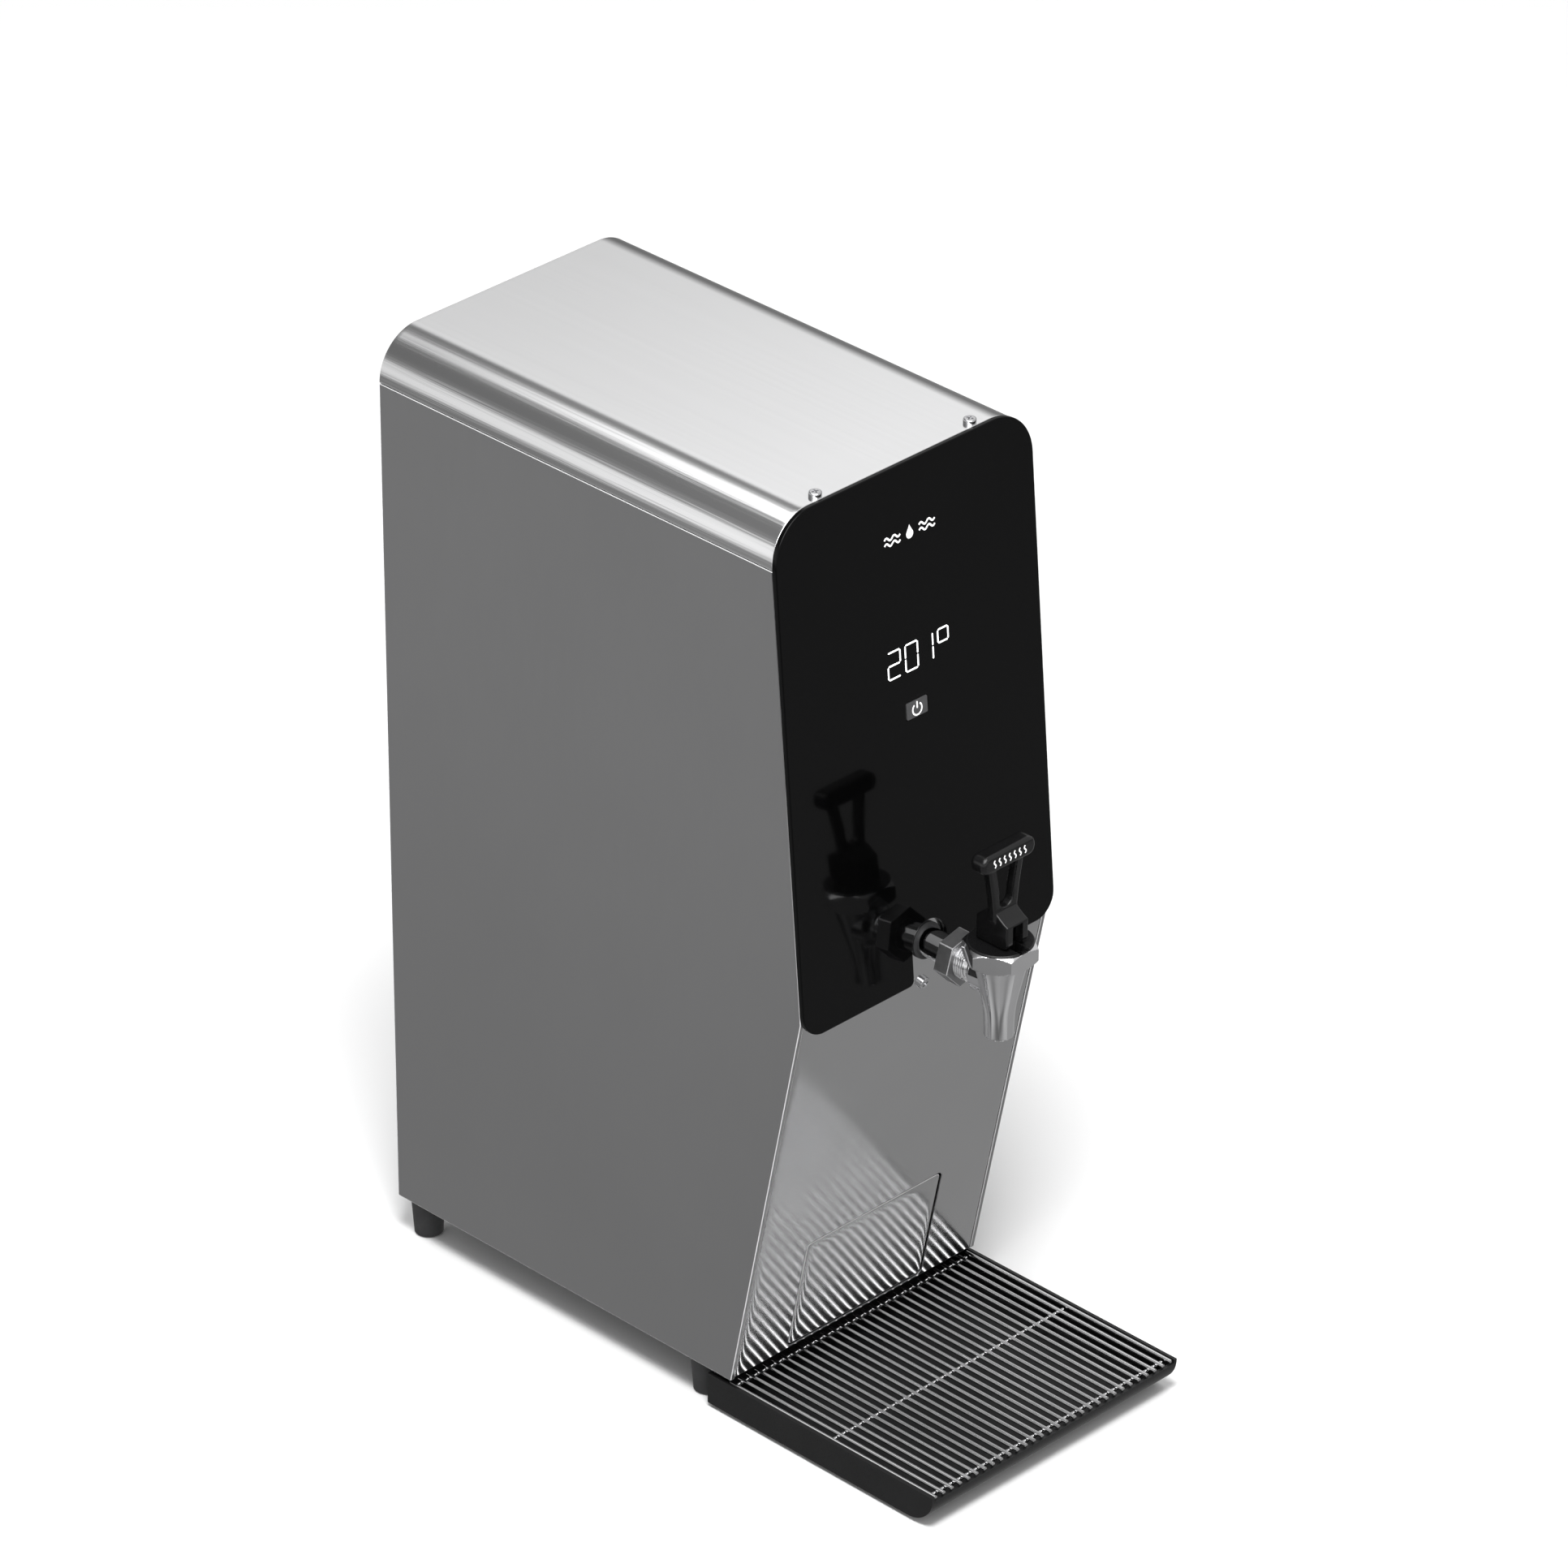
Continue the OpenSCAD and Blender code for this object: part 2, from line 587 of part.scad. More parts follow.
module lid_screw_places() for (a = [0 : 60 : 300])
    translate([0, tank_y, 0]) rotate(a + 30) translate([tank_r + 2.8, 0, 0]) children();
module tank_lid() color("#b4b6b8") seat() difference() {
    zcyl(tank_r + 6, tank_top + 2, tank_top + 3.5, 0, tank_y);
    zcyl(spigot_r + 0.05, tank_top, tank_top + 9, 0, tank_y + 55);
    zcyl(3.05, tank_top, tank_top + 9, -30, tank_y);
    for (i = [-1, 0, 1]) zcyl(4.05, tank_top, tank_top + 9, 30, tank_y + 14 * i);
    lid_screw_places() zcyl(1.7, tank_top, tank_top + 9);
}
module lid_gasket() color("#b5533c") seat() translate([0, tank_y, tank_top]) difference() {
    tube(tank_r + 6, tank_r - 1, 2);
    for (a = [0 : 60 : 300])
        rotate(a + 30) translate([tank_r + 2.8, 0, -1]) cylinder(r = 1.7, h = 5);
}
module lid_screws() color("#c4c6c8") seat() lid_screw_places() translate([0, 0, tank_top + 3.5])
    pan_screw(head_r = 2.9, head_h = 2, shank = 1.6, len = 3.4);

module insulation_jacket() color("#d9d4c8") seat() difference() {
    translate([0, tank_y, tank_foot + 6]) tube(tank_r + 20, tank_r + 0.5, tank_top - tank_foot - 12);
    ycyl(15, tank_y - tank_r - 30, tank_y - tank_r + 10, 0, shank_z);
}

module tank_stand() color("#8c8e90") seat() {
    translate([0, tank_y, tank_foot - 2]) tube(tank_r + 8, tank_r - 16, 2);
    for (sx = [-1, 1], sy = [-1, 1]) translate([sx * stand_leg, tank_y + sy * stand_leg, 0]) {
        block([-6, -6, 1.2], [6, 6, tank_foot - 2]);
        block([-9, -9, 1.2], [9, 9, 3]);
    }
}

module heating_element() color("#a7a9ab") seat() translate([0, tank_y, tank_foot]) {
    translate([0, 0, -14]) cylinder(r = 21, h = 14, $fn = 6);
    cylinder(r = 16, h = 6);
    for (s = [-1, 1]) translate([s * 9, 0, 5]) cylinder(r = 4, h = 195);
    translate([0, 0, 200]) rotate([90, 0, 0]) rotate_extrude(angle = 180)
        translate([9, 0]) circle(r = 4);
    for (s = [-1, 1]) translate([s * 7, 0, -22]) cylinder(r = 2.5, h = 9);
}

module temperature_probe() color("#c4c6c8") seat() translate([-30, tank_y, 0]) {
    zcyl(3, tank_foot + 90, tank_top + 4);
    zcyl(7, tank_top + 3.5, tank_top + 11, $fn = 6);
    zcyl(2, tank_top + 10, tank_top + 20);
}
module level_probes() color("#e4e2dc") seat() for (i = [-1, 0, 1])
    translate([30, tank_y + 14 * i, 0]) {
        zcyl(4, tank_top - 6, tank_top + 12);
        zcyl(1.5, tank_top - 70 - 40 * i, tank_top + 18);
    }
module overheat_cutout() color("#1a1a1b") seat() translate([0, tank_y - 45, tank_top + 3.5]) {
    cylinder(r = 12, h = 2);
    cylinder(r = 8, h = 14);
    translate([0, 0, 13]) cylinder(r = 2, h = 4);
}

module outlet_sleeve() color("#cfd4d6") seat() difference() {
    ycyl(12.3, 36, tank_y - tank_r - 3, 0, shank_z);
    ycyl(shank_r + 0.05, 30, 90, 0, shank_z);
}
module sleeve_clips() color("#c4c6c8") seat() for (y = [37.5, 59]) difference() {
    ycyl(13.4, y, y + 6, 0, shank_z);
    ycyl(12.35, y - 1, y + 7, 0, shank_z);
}

// A quarter bend of pipe in the Y, Z plane about its own centre
module quarter(start, r) rotate([0, 90, 0]) rotate(start) rotate_extrude(angle = 90)
    translate([bend, 0]) circle(r = r);

module overflow_run(r, over) {
    y_up = tank_y + 55;
    y_down = 264;
    top = tank_top + 22;
    zcyl(r, tank_top - 2 - over, top, 0, y_up);
    translate([0, y_up + bend, top]) quarter(180, r);
    ycyl(r, y_up + bend, y_down - bend, 0, top + bend);
    translate([0, y_down - bend, top]) quarter(90, r);
    zcyl(r, spigot_z + bend, top, 0, y_down);
    translate([0, y_down + bend, spigot_z + bend]) quarter(270, r);
    ycyl(r, y_down + bend, body_d - 8 + over, 0, spigot_z);
}
module overflow_pipe() color("#d6d6d0") seat() difference() {
    overflow_run(spigot_r, 0);
    overflow_run(spigot_r - pipe_wall, 1);
}

module overflow_spigot() color("#e2e2dc") seat() difference() {
    union() {
        ycyl(spigot_r, body_d - 8, body_d + 15, 0, spigot_z);
        ycyl(9.5, body_d - 4, body_d - sheet_t, 0, spigot_z);
        ycyl(9.5, body_d, body_d + 4, 0, spigot_z, $fn = 6);
    }
    ycyl(spigot_r - pipe_wall, body_d - 9, body_d + 16, 0, spigot_z);
}

module inlet_valve() color("#d8d8d2") seat() difference() {
    union() {
        block([inlet_x - 16, 250, inlet_z - 16], [inlet_x + 16, 284, inlet_z + 14]);
        ycyl(inlet_r + 3, 283, body_d - sheet_t, inlet_x, inlet_z);
        ycyl(inlet_r - 0.2, 290, body_d + 5, inlet_x, inlet_z);
        ycyl(inlet_r, body_d + 4.5, rear_y, inlet_x, inlet_z);
        ycyl(pipe_r, 240, 251, inlet_x, inlet_z);
        zcyl(14, inlet_z + 13, inlet_z + 42, inlet_x, 266);
        zcyl(5, inlet_z + 41, inlet_z + 47, inlet_x, 266);
    }
    ycyl(9, 270, rear_y + 1, inlet_x, inlet_z);
    ycyl(pipe_r - pipe_wall, 235, 275, inlet_x, inlet_z);
}
module inlet_nut() color("#b9a15a") seat() difference() {
    translate([inlet_x, body_d + 4, inlet_z]) rotate([90, 0, 0])
        cylinder(r = 18.5, h = 4, $fn = 6);
    ycyl(inlet_r - 0.15, body_d - 2, body_d + 6, inlet_x, inlet_z);
}
module inlet_run(r, over) {
    y_up = tank_y + 30;
    ycyl(r, y_up + bend, 240 + over, inlet_x, inlet_z);
    translate([inlet_x, y_up + bend, inlet_z + bend]) quarter(270, r);
    zcyl(r, inlet_z + bend, tank_foot - 16 + over, inlet_x, y_up);
}
module inlet_pipe() color("#c8cacc") seat() difference() {
    inlet_run(pipe_r, 0);
    inlet_run(pipe_r - pipe_wall, 1);
}

module drain_run(r, over) {
    y_up = tank_y - 30;
    zcyl(r, drain_z + bend, tank_foot - 16 + over, drain_x, y_up);
    translate([drain_x, y_up - bend, drain_z + bend]) quarter(0, r);
    ycyl(r, drain_y + 15 - over, y_up - bend, drain_x, drain_z);
}
module drain_pipe() color("#c8cacc") seat() difference() {
    drain_run(pipe_r, 0);
    drain_run(pipe_r - pipe_wall, 1);
}
module drain_valve() color("#b9a15a") seat() difference() {
    union() {
        ycyl(10, drain_y - 14, drain_y + 14, drain_x, drain_z);
        ycyl(pipe_r, drain_y - 32, drain_y + 15, drain_x, drain_z);
        zcyl(6, drain_z, drain_z + 13, drain_x, drain_y);
        block([drain_x - 5, drain_y - 6, 1.2], [drain_x + 5, drain_y + 6, drain_z]);
    }
    ycyl(pipe_r - pipe_wall, drain_y - 34, drain_y + 17, drain_x, drain_z);
    zcyl(3.05, drain_z, drain_z + 14, drain_x, drain_y);
}
module drain_lever() color("#b8342a") seat() translate([drain_x, drain_y, drain_z]) {
    translate([0, 0, 6]) cylinder(r = 3, h = 14);
    translate([0, 0, 13.3]) cylinder(r = 6, h = 3);
    translate([0, -4, 13.3]) cube([32, 8, 3]);
}

// ---- Electrical ----

module terminal_block() color("#e6e4de") seat() difference() {
    block([gland_x - 22, 240, 1.2], [gland_x + 22, 258, 22]);
    for (i = [-1, 0, 1]) zcyl(3, 14, 30, gland_x + 14 * i, 249);
}
module cable_gland() color("#1c1c1d") seat() difference() {
    union() {
        ycyl(8.2, body_d - 10, body_d + 2, gland_x, gland_z);
        ycyl(11, body_d, body_d + 5, gland_x, gland_z, $fn = 6);
        ycyl(9, body_d + 5, body_d + 12, gland_x, gland_z);
        ycyl(11.5, body_d - 5, body_d - sheet_t, gland_x, gland_z, $fn = 6);
    }
    ycyl(gland_bore_r, body_d - 12, body_d + 14, gland_x, gland_z);
}

side_panel_left();
side_panel_right();
top_cover();
rear_panel();
base_plate();
front_panel();
fascia_glass();
access_cover();
cover_magnets();
cover_screws();
front_screw();
rear_screws();
feet();
foot_nuts();
display_module();
control_board();
board_standoffs();
power_button();
shank_tube();
shank_grommet();
shank_nut();
shank_washer();
tap_body();
tap_bonnet();
tap_stem();
seat_cup();
tap_spring();
tap_handle();
handle_pin();
drip_tray();
tray_pads();
drip_grille();
tank();
tank_lid();
lid_gasket();
lid_screws();
insulation_jacket();
tank_stand();
heating_element();
temperature_probe();
level_probes();
overheat_cutout();
outlet_sleeve();
sleeve_clips();
inlet_valve();
inlet_nut();
inlet_pipe();
overflow_pipe();
overflow_spigot();
drain_pipe();
drain_valve();
drain_lever();
terminal_block();
cable_gland();
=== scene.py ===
"""Looks for the countertop water dispenser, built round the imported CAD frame."""

import json
import math

import bmesh
import bpy
from mathutils import Matrix, Vector


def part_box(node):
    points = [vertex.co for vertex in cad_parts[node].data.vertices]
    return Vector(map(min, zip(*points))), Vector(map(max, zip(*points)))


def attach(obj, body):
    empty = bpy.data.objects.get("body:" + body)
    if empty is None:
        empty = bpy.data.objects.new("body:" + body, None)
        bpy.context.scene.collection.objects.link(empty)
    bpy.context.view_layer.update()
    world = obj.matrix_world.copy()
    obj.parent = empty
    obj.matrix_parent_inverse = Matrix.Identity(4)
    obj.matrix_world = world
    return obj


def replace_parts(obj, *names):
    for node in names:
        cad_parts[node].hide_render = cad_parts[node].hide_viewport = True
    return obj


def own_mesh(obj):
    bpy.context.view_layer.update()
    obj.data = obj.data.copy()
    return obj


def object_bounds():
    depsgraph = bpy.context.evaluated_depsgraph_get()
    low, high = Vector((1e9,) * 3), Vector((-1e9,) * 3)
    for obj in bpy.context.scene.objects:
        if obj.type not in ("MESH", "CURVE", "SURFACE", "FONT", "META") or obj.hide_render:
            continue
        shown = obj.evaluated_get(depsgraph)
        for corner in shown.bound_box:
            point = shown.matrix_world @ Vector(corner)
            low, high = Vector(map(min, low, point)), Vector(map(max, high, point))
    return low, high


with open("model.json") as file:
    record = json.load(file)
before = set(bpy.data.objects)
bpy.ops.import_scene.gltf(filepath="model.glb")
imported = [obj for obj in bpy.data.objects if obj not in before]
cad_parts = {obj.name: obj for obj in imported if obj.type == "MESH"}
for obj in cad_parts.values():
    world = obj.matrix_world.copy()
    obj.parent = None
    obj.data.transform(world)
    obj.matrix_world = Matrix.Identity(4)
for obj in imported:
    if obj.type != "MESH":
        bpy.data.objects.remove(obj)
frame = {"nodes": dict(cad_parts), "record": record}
nodes = frame["nodes"]
cad_low, cad_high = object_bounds()
slot_of = {s["node"]: s["material_slot"] for s in frame["record"]["subparts"]}

MM = 0.001
GRAIN_HEIGHT = 0.2 * MM
NOISE_SPAN = (0.3, 0.7)
BEND_TO_LEVEL = (0.93, 0.995)

# The Mix node's sockets, for colours and for plain numbers
FACTOR = 0
FIRST_COLOUR, SECOND_COLOUR, MIXED_COLOUR = 6, 7, 2
FIRST_NUMBER, SECOND_NUMBER, MIXED_NUMBER = 2, 3, 0


# ---- Node materials ----


class Surface:
    """One procedural material: a shader whose colour, roughness and height vary over the surface."""

    def __init__(self, name, colour, rough, metal=0.0, specular=0.5):
        self.material = bpy.data.materials.new(name)
        self.material.use_nodes = True
        self.tree = self.material.node_tree
        self.shader = self.tree.nodes["Principled BSDF"]
        self.colour = colour
        self.rough = rough
        self.shader.inputs["Metallic"].default_value = metal
        self.shader.inputs["Specular IOR Level"].default_value = specular
        self.shader.inputs["Base Color"].default_value = (*colour, 1)
        self.shader.inputs["Roughness"].default_value = rough
        self.coordinates = self.node("ShaderNodeTexCoord")
        self.where = self.coordinates.outputs["Object"]

    def node(self, kind, **settings):
        made = self.tree.nodes.new(kind)
        for key, value in settings.items():
            setattr(made, key, value)
        return made

    def link(self, source, target):
        self.tree.links.new(source, target)

    def noise(self, scale, stretch=(1, 1, 1)):
        """A noise value, drawn out along the axes where stretch is small."""
        mapping = self.node("ShaderNodeMapping")
        mapping.inputs["Scale"].default_value = stretch
        self.link(self.where, mapping.inputs["Vector"])
        texture = self.node("ShaderNodeTexNoise")
        texture.inputs["Scale"].default_value = scale
        texture.inputs["Detail"].default_value = 3.0
        self.link(mapping.outputs["Vector"], texture.inputs["Vector"])
        return texture.outputs["Fac"]

    def spread(self, value, low, high, span=NOISE_SPAN):
        """The value carried from span to low and high. Noise lies mostly in NOISE_SPAN."""
        ranged = self.node("ShaderNodeMapRange")
        ranged.inputs["From Min"].default_value = span[0]
        ranged.inputs["From Max"].default_value = span[1]
        ranged.inputs["To Min"].default_value = low
        ranged.inputs["To Max"].default_value = high
        self.link(value, ranged.inputs["Value"])
        return ranged.outputs["Result"]

    def mix(self, factor, first, second):
        """Two colours mixed by a factor."""
        mixed = self.node("ShaderNodeMix", data_type="RGBA")
        self.link(factor, mixed.inputs[FACTOR])
        mixed.inputs[FIRST_COLOUR].default_value = (*first, 1)
        mixed.inputs[SECOND_COLOUR].default_value = (*second, 1)
        return mixed.outputs[MIXED_COLOUR]

    def finish(self, vary=0.12, scale=14, grain=600, stretch=(1, 1, 1), rough_vary=0.15, bump=0.05,
               flat_share=None, painted_light_ramp=None):
        """Colour clouds and a grain that changes roughness and height.

        flat_share is the share of the height that level faces keep, where bends keep all of it.

        The painted light ramp, (axis, start, end, first, last), paints light and shade into the colour: it
        goes from first times itself at start to last times itself at end, both places along the axis.
        """
        dark = tuple(c * (1 - vary) for c in self.colour)
        light = tuple(min(1.0, c * (1 + vary)) for c in self.colour)
        colour = self.mix(self.spread(self.noise(scale), 0, 1), dark, light)
        fine = self.noise(grain, stretch)
        if painted_light_ramp:
            axis, start, end, first, last = painted_light_ramp
            apart = self.node("ShaderNodeSeparateXYZ")
            self.link(self.where, apart.inputs[0])
            share = self.spread(apart.outputs[axis], first, last, (start, end))
            scaled = self.node("ShaderNodeVectorMath", operation="SCALE")
            self.link(colour, scaled.inputs[0])
            self.link(share, scaled.inputs["Scale"])
            colour = scaled.outputs[0]
        self.link(colour, self.shader.inputs["Base Color"])
        low = max(0.0, self.rough * (1 - rough_vary))
        self.link(self.spread(fine, low, self.rough * (1 + rough_vary)), self.shader.inputs["Roughness"])
        if bump:
            raised = self.node("ShaderNodeBump")
            raised.inputs["Strength"].default_value = bump
            if flat_share is not None:
                facing = self.node("ShaderNodeSeparateXYZ")
                self.link(self.coordinates.outputs["Normal"], facing.inputs[0])
                strength = self.spread(facing.outputs["Z"], bump, bump * flat_share, BEND_TO_LEVEL)
                self.link(strength, raised.inputs["Strength"])
            raised.inputs["Distance"].default_value = GRAIN_HEIGHT
            self.link(fine, raised.inputs["Height"])
            self.link(raised.outputs["Normal"], self.shader.inputs["Normal"])
        return self.material


UPRIGHT = (1, 1, 0.02)
ALONG_DEPTH = (1, 0.015, 1)
ALONG_WIDTH = (0.02, 1, 1)
steel = dict(metal=1.0)
looks = {
    # The side steel is painted lighter towards the top, a painted shading of the room's reflected light
    "satin_steel": Surface("satin_steel", (0.435, 0.435, 0.44), 0.34, **steel).finish(
        vary=0.02, scale=5, grain=1500, stretch=UPRIGHT, rough_vary=0.08, bump=0.02,
        painted_light_ramp=("Z", 0.10, 0.52, 0.97, 1.08)),
    # The top steel is painted darker towards the back and lighter towards the front, a painted shading of
    # the reflected light
    "top_steel": Surface("top_steel", (0.835, 0.835, 0.84), 0.15, **steel).finish(
        vary=0.01, scale=5, grain=300, stretch=ALONG_DEPTH, rough_vary=0.12, bump=0.9, flat_share=0.08,
        painted_light_ramp=("Y", 0.21, -0.08, 0.85, 1.07)),
    "polished_steel": Surface("polished_steel", (0.585, 0.585, 0.59), 0.145, **steel).finish(
        vary=0.02, scale=9, grain=70, rough_vary=0.10, bump=0.001),
    "plain_steel": Surface("plain_steel", (0.50, 0.51, 0.52), 0.40, **steel).finish(
        vary=0.08, scale=18, grain=900, stretch=ALONG_WIDTH, bump=0.05),
    "black_glass": Surface("black_glass", (0.0013, 0.0013, 0.0014), 0.065, specular=0.17).finish(
        vary=0.10, scale=8, grain=40, rough_vary=0.3, bump=0.0),
    "magnet": Surface("magnet", (0.06, 0.06, 0.065), 0.55).finish(grain=900),
    "bright_screw": Surface("bright_screw", (0.60, 0.60, 0.61), 0.20, **steel).finish(
        vary=0.08, scale=500, grain=1800, rough_vary=0.3, bump=0.06),
    "foot_rubber": Surface("foot_rubber", (0.022, 0.022, 0.023), 0.62).finish(
        vary=0.25, scale=90, grain=2200, bump=0.2),
    "zinc_steel": Surface("zinc_steel", (0.60, 0.61, 0.63), 0.30, **steel).finish(
        vary=0.12, scale=160, grain=1200, bump=0.08),
    "black_module": Surface("black_module", (0.025, 0.025, 0.027), 0.50).finish(
        grain=1600, bump=0.1),
    "circuit_board": Surface("circuit_board", (0.02, 0.13, 0.06), 0.38).finish(
        vary=0.35, scale=240, grain=1400, bump=0.2),
    "nylon": Surface("nylon", (0.74, 0.73, 0.69), 0.46).finish(
        vary=0.06, scale=60, grain=1500, bump=0.1),
    "grey_button": Surface("grey_button", (0.066, 0.066, 0.068), 0.42, specular=0.3).finish(
        vary=0.08, scale=260, grain=3000, bump=0.12),
    "chrome": Surface("chrome", (0.80, 0.80, 0.81), 0.055, **steel).finish(
        vary=0.03, scale=60, grain=500, rough_vary=0.3, bump=0.006),
    "dark_chrome": Surface("dark_chrome", (0.36, 0.36, 0.365), 0.42, **steel).finish(
        vary=0.08, scale=120, grain=1500, rough_vary=0.2, bump=0.03),
    "ptfe": Surface("ptfe", (0.83, 0.83, 0.81), 0.40).finish(vary=0.04, grain=900),
    "tap_black": Surface("tap_black", (0.006, 0.006, 0.0063), 0.28, specular=0.28).finish(
        vary=0.15, scale=90, grain=2600, rough_vary=0.2, bump=0.05),
    "handle_black": Surface("handle_black", (0.005, 0.005, 0.0052), 0.18, specular=0.45).finish(
        vary=0.15, scale=90, grain=2600, rough_vary=0.2, bump=0.05),
    "stem_steel": Surface("stem_steel", (0.58, 0.58, 0.59), 0.22, **steel).finish(
        vary=0.08, scale=200, grain=1600, stretch=UPRIGHT, bump=0.05),
    "silicone": Surface("silicone", (0.66, 0.65, 0.62), 0.48).finish(
        vary=0.06, scale=70, grain=900, bump=0.08),
    "tray_black": Surface("tray_black", (0.007, 0.007, 0.0073), 0.33, specular=0.28).finish(
        vary=0.15, scale=40, grain=2600, rough_vary=0.2, bump=0.12),
    "wire_chrome": Surface("wire_chrome", (0.66, 0.66, 0.665), 0.10, **steel).finish(
        vary=0.05, scale=200, grain=1500, stretch=ALONG_DEPTH, rough_vary=0.3, bump=0.02),
    "tank_steel": Surface("tank_steel", (0.56, 0.56, 0.57), 0.30, **steel).finish(
        vary=0.06, scale=20, grain=1100, stretch=UPRIGHT, bump=0.06),
    "insulation": Surface("insulation", (0.66, 0.63, 0.57), 0.95, specular=0.1).finish(
        vary=0.22, scale=120, grain=700, bump=0.9),
    "element_steel": Surface("element_steel", (0.34, 0.31, 0.29), 0.42, **steel).finish(
        vary=0.25, scale=60, grain=900, bump=0.15),
    "probe_ceramic": Surface("probe_ceramic", (0.82, 0.81, 0.77), 0.28).finish(
        vary=0.05, scale=150, grain=900, bump=0.05),
    "brass": Surface("brass", (0.72, 0.55, 0.24), 0.26, **steel).finish(
        vary=0.12, scale=120, grain=1500, rough_vary=0.3, bump=0.06),
    "red_plastic": Surface("red_plastic", (0.42, 0.03, 0.02), 0.33).finish(
        vary=0.12, scale=90, grain=1500, bump=0.06),
    "gland_black": Surface("gland_black", (0.024, 0.024, 0.026), 0.48).finish(
        vary=0.2, scale=90, grain=1800, bump=0.12),
    # A painted highlight line: the light, barely metallic look of the side panels' rounded edges and of the
    # line inside the cover's rolled edge
    "satin_steel_edge": Surface("satin_steel_edge", (0.74, 0.74, 0.745), 0.35, metal=0.2).finish(
        vary=0.08, scale=60, grain=1400, rough_vary=0.2, bump=0.02),
    # A painted shadow: the dark line along the front sheet's rounded edges and deep in the cover's rolled
    # edge, beside the gaps
    "seam_line": Surface("seam_line", (0.20, 0.20, 0.205), 0.30, **steel).finish(
        vary=0.08, scale=60, grain=1400, rough_vary=0.2, bump=0.02),
    "dark_base": Surface("dark_base", (0.03, 0.03, 0.032), 0.6, specular=0.2).finish(
        vary=0.2, scale=40, grain=1500, bump=0.1),
}


LIGHTEST_EDGE = 0.9
EDGE_GAIN = 1.8
EDGE_LIFT = 0.01


def painted_edge_highlight(slot):
    """A painted highlight for a slot's rounded edges: a look lighter than its faces."""
    name = slot + "_edge"
    if name not in looks:
        shader = looks[slot].node_tree.nodes["Principled BSDF"]
        colour = tuple(shader.inputs["Base Color"].default_value)[:3]
        metal = shader.inputs["Metallic"].default_value
        lighter = tuple(min(LIGHTEST_EDGE, c * EDGE_GAIN + EDGE_LIFT) for c in colour)
        looks[name] = Surface(name, lighter, 0.5, metal=metal, specular=0.35).finish(
            vary=0.10, scale=60, grain=1400, rough_vary=0.2, bump=0.02)
    return looks[name]


def lit_print(name, colour, glow):
    """White print or lit segments: a faintly uneven face with its own glow."""
    surface = Surface(name, colour, 0.35)
    surface.shader.inputs["Emission Color"].default_value = (*colour, 1)
    surface.shader.inputs["Emission Strength"].default_value = glow
    return surface.finish(vary=0.04, scale=300, grain=2500, bump=0.03)


looks["lit_segment"] = lit_print("lit_segment", (1.0, 1.0, 1.0), 1.0)
# The white print has a faint glow of its own, painted light, as print gives no light
looks["white_print"] = lit_print("white_print", (0.92, 0.92, 0.92), 0.25)


# ---- Objects and meshes ----


def in_scene(name, data):
    """A new object, linked to the scene."""
    made = bpy.data.objects.new(name, data)
    bpy.context.scene.collection.objects.link(made)
    return made


def add_object(name, mesh, look, body, edges=()):
    """Puts a finished mesh, made in the CAD's frame, on a body. Faces marked 1 or 2 take an edge look."""
    made = in_scene(name, mesh)
    marks = [face.material_index for face in mesh.polygons]
    mesh.materials.clear()
    mesh.materials.append(looks[look])
    for edge in edges:
        mesh.materials.append(looks[edge])
    if edges:
        for face, mark in zip(mesh.polygons, marks):
            face.material_index = mark
    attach(made, body)
    return made


def shade(mesh, angle):
    """Smooth faces, with edges sharper than the angle kept crisp."""
    for face in mesh.polygons:
        face.use_smooth = True
    mesh.set_sharp_from_angle(angle=math.radians(angle))
    return mesh


def cleaned(mesh, distance):
    """The mesh with points closer than the distance merged and its faces turned outwards."""
    made = bmesh.new()
    made.from_mesh(mesh)
    bmesh.ops.remove_doubles(made, verts=made.verts, dist=distance)
    bmesh.ops.recalc_face_normals(made, faces=made.faces)
    made.to_mesh(mesh)
    made.free()
    return mesh


def baked(holder):
    """The mesh that an object has after its modifiers. The object goes."""
    bpy.context.view_layer.update()
    graph = bpy.context.evaluated_depsgraph_get()
    mesh = bpy.data.meshes.new_from_object(holder.evaluated_get(graph))
    bpy.data.objects.remove(holder)
    return mesh


def modified(mesh, build):
    """The mesh after the modifiers that build puts on it."""
    holder = in_scene("holder", mesh)
    build(holder)
    return baked(holder)


def mesh_from(points, faces, angle, matrix=Matrix.Identity(4)):
    """A mesh from points in millimetres in the given frame, with edges sharper than the angle crisp."""
    mesh = bpy.data.meshes.new("piece")
    mesh.from_pydata([tuple(matrix @ (Vector(p) * MM)) for p in points], [], faces)
    return shade(cleaned(mesh, 0.001 * MM), angle)


def plate(loops, low, high, edge, matrix, steps=3):
    """A flat plate from closed outlines in millimetres, with rounded edges, from low to high along Z."""
    curve = bpy.data.curves.new("plate", "CURVE")
    curve.dimensions = "2D"
    curve.fill_mode = "BOTH"
    curve.extrude = ((high - low) / 2 - edge) * MM
    curve.bevel_depth = edge * MM
    curve.bevel_resolution = steps
    curve.offset = -edge * MM
    for loop in loops:
        line = curve.splines.new("POLY")
        line.points.add(len(loop) - 1)
        for point, (x, y) in zip(line.points, loop):
            point.co = (x * MM, y * MM, 0, 1)
        line.use_cyclic_u = True
    mesh = baked(in_scene("plate", curve))
    bpy.data.curves.remove(curve)
    mesh.transform(matrix @ Matrix.Translation((0, 0, (low + high) / 2 * MM)))
    return shade(cleaned(mesh, 0.002 * MM), 30)


def row_faces(rows, wide):
    """Faces between neighbouring rows of points."""
    return [(j * wide + i, j * wide + i + 1, (j + 1) * wide + i + 1, (j + 1) * wide + i)
            for j in range(rows - 1) for i in range(wide - 1)]


def ring_faces(rings, count):
    """Faces between neighbouring closed rings of points."""
    faces = []
    for j in range(rings - 1):
        for i in range(count):
            k = (i + 1) % count
            faces.append((j * count + i, j * count + k, (j + 1) * count + k, (j + 1) * count + i))
    return faces


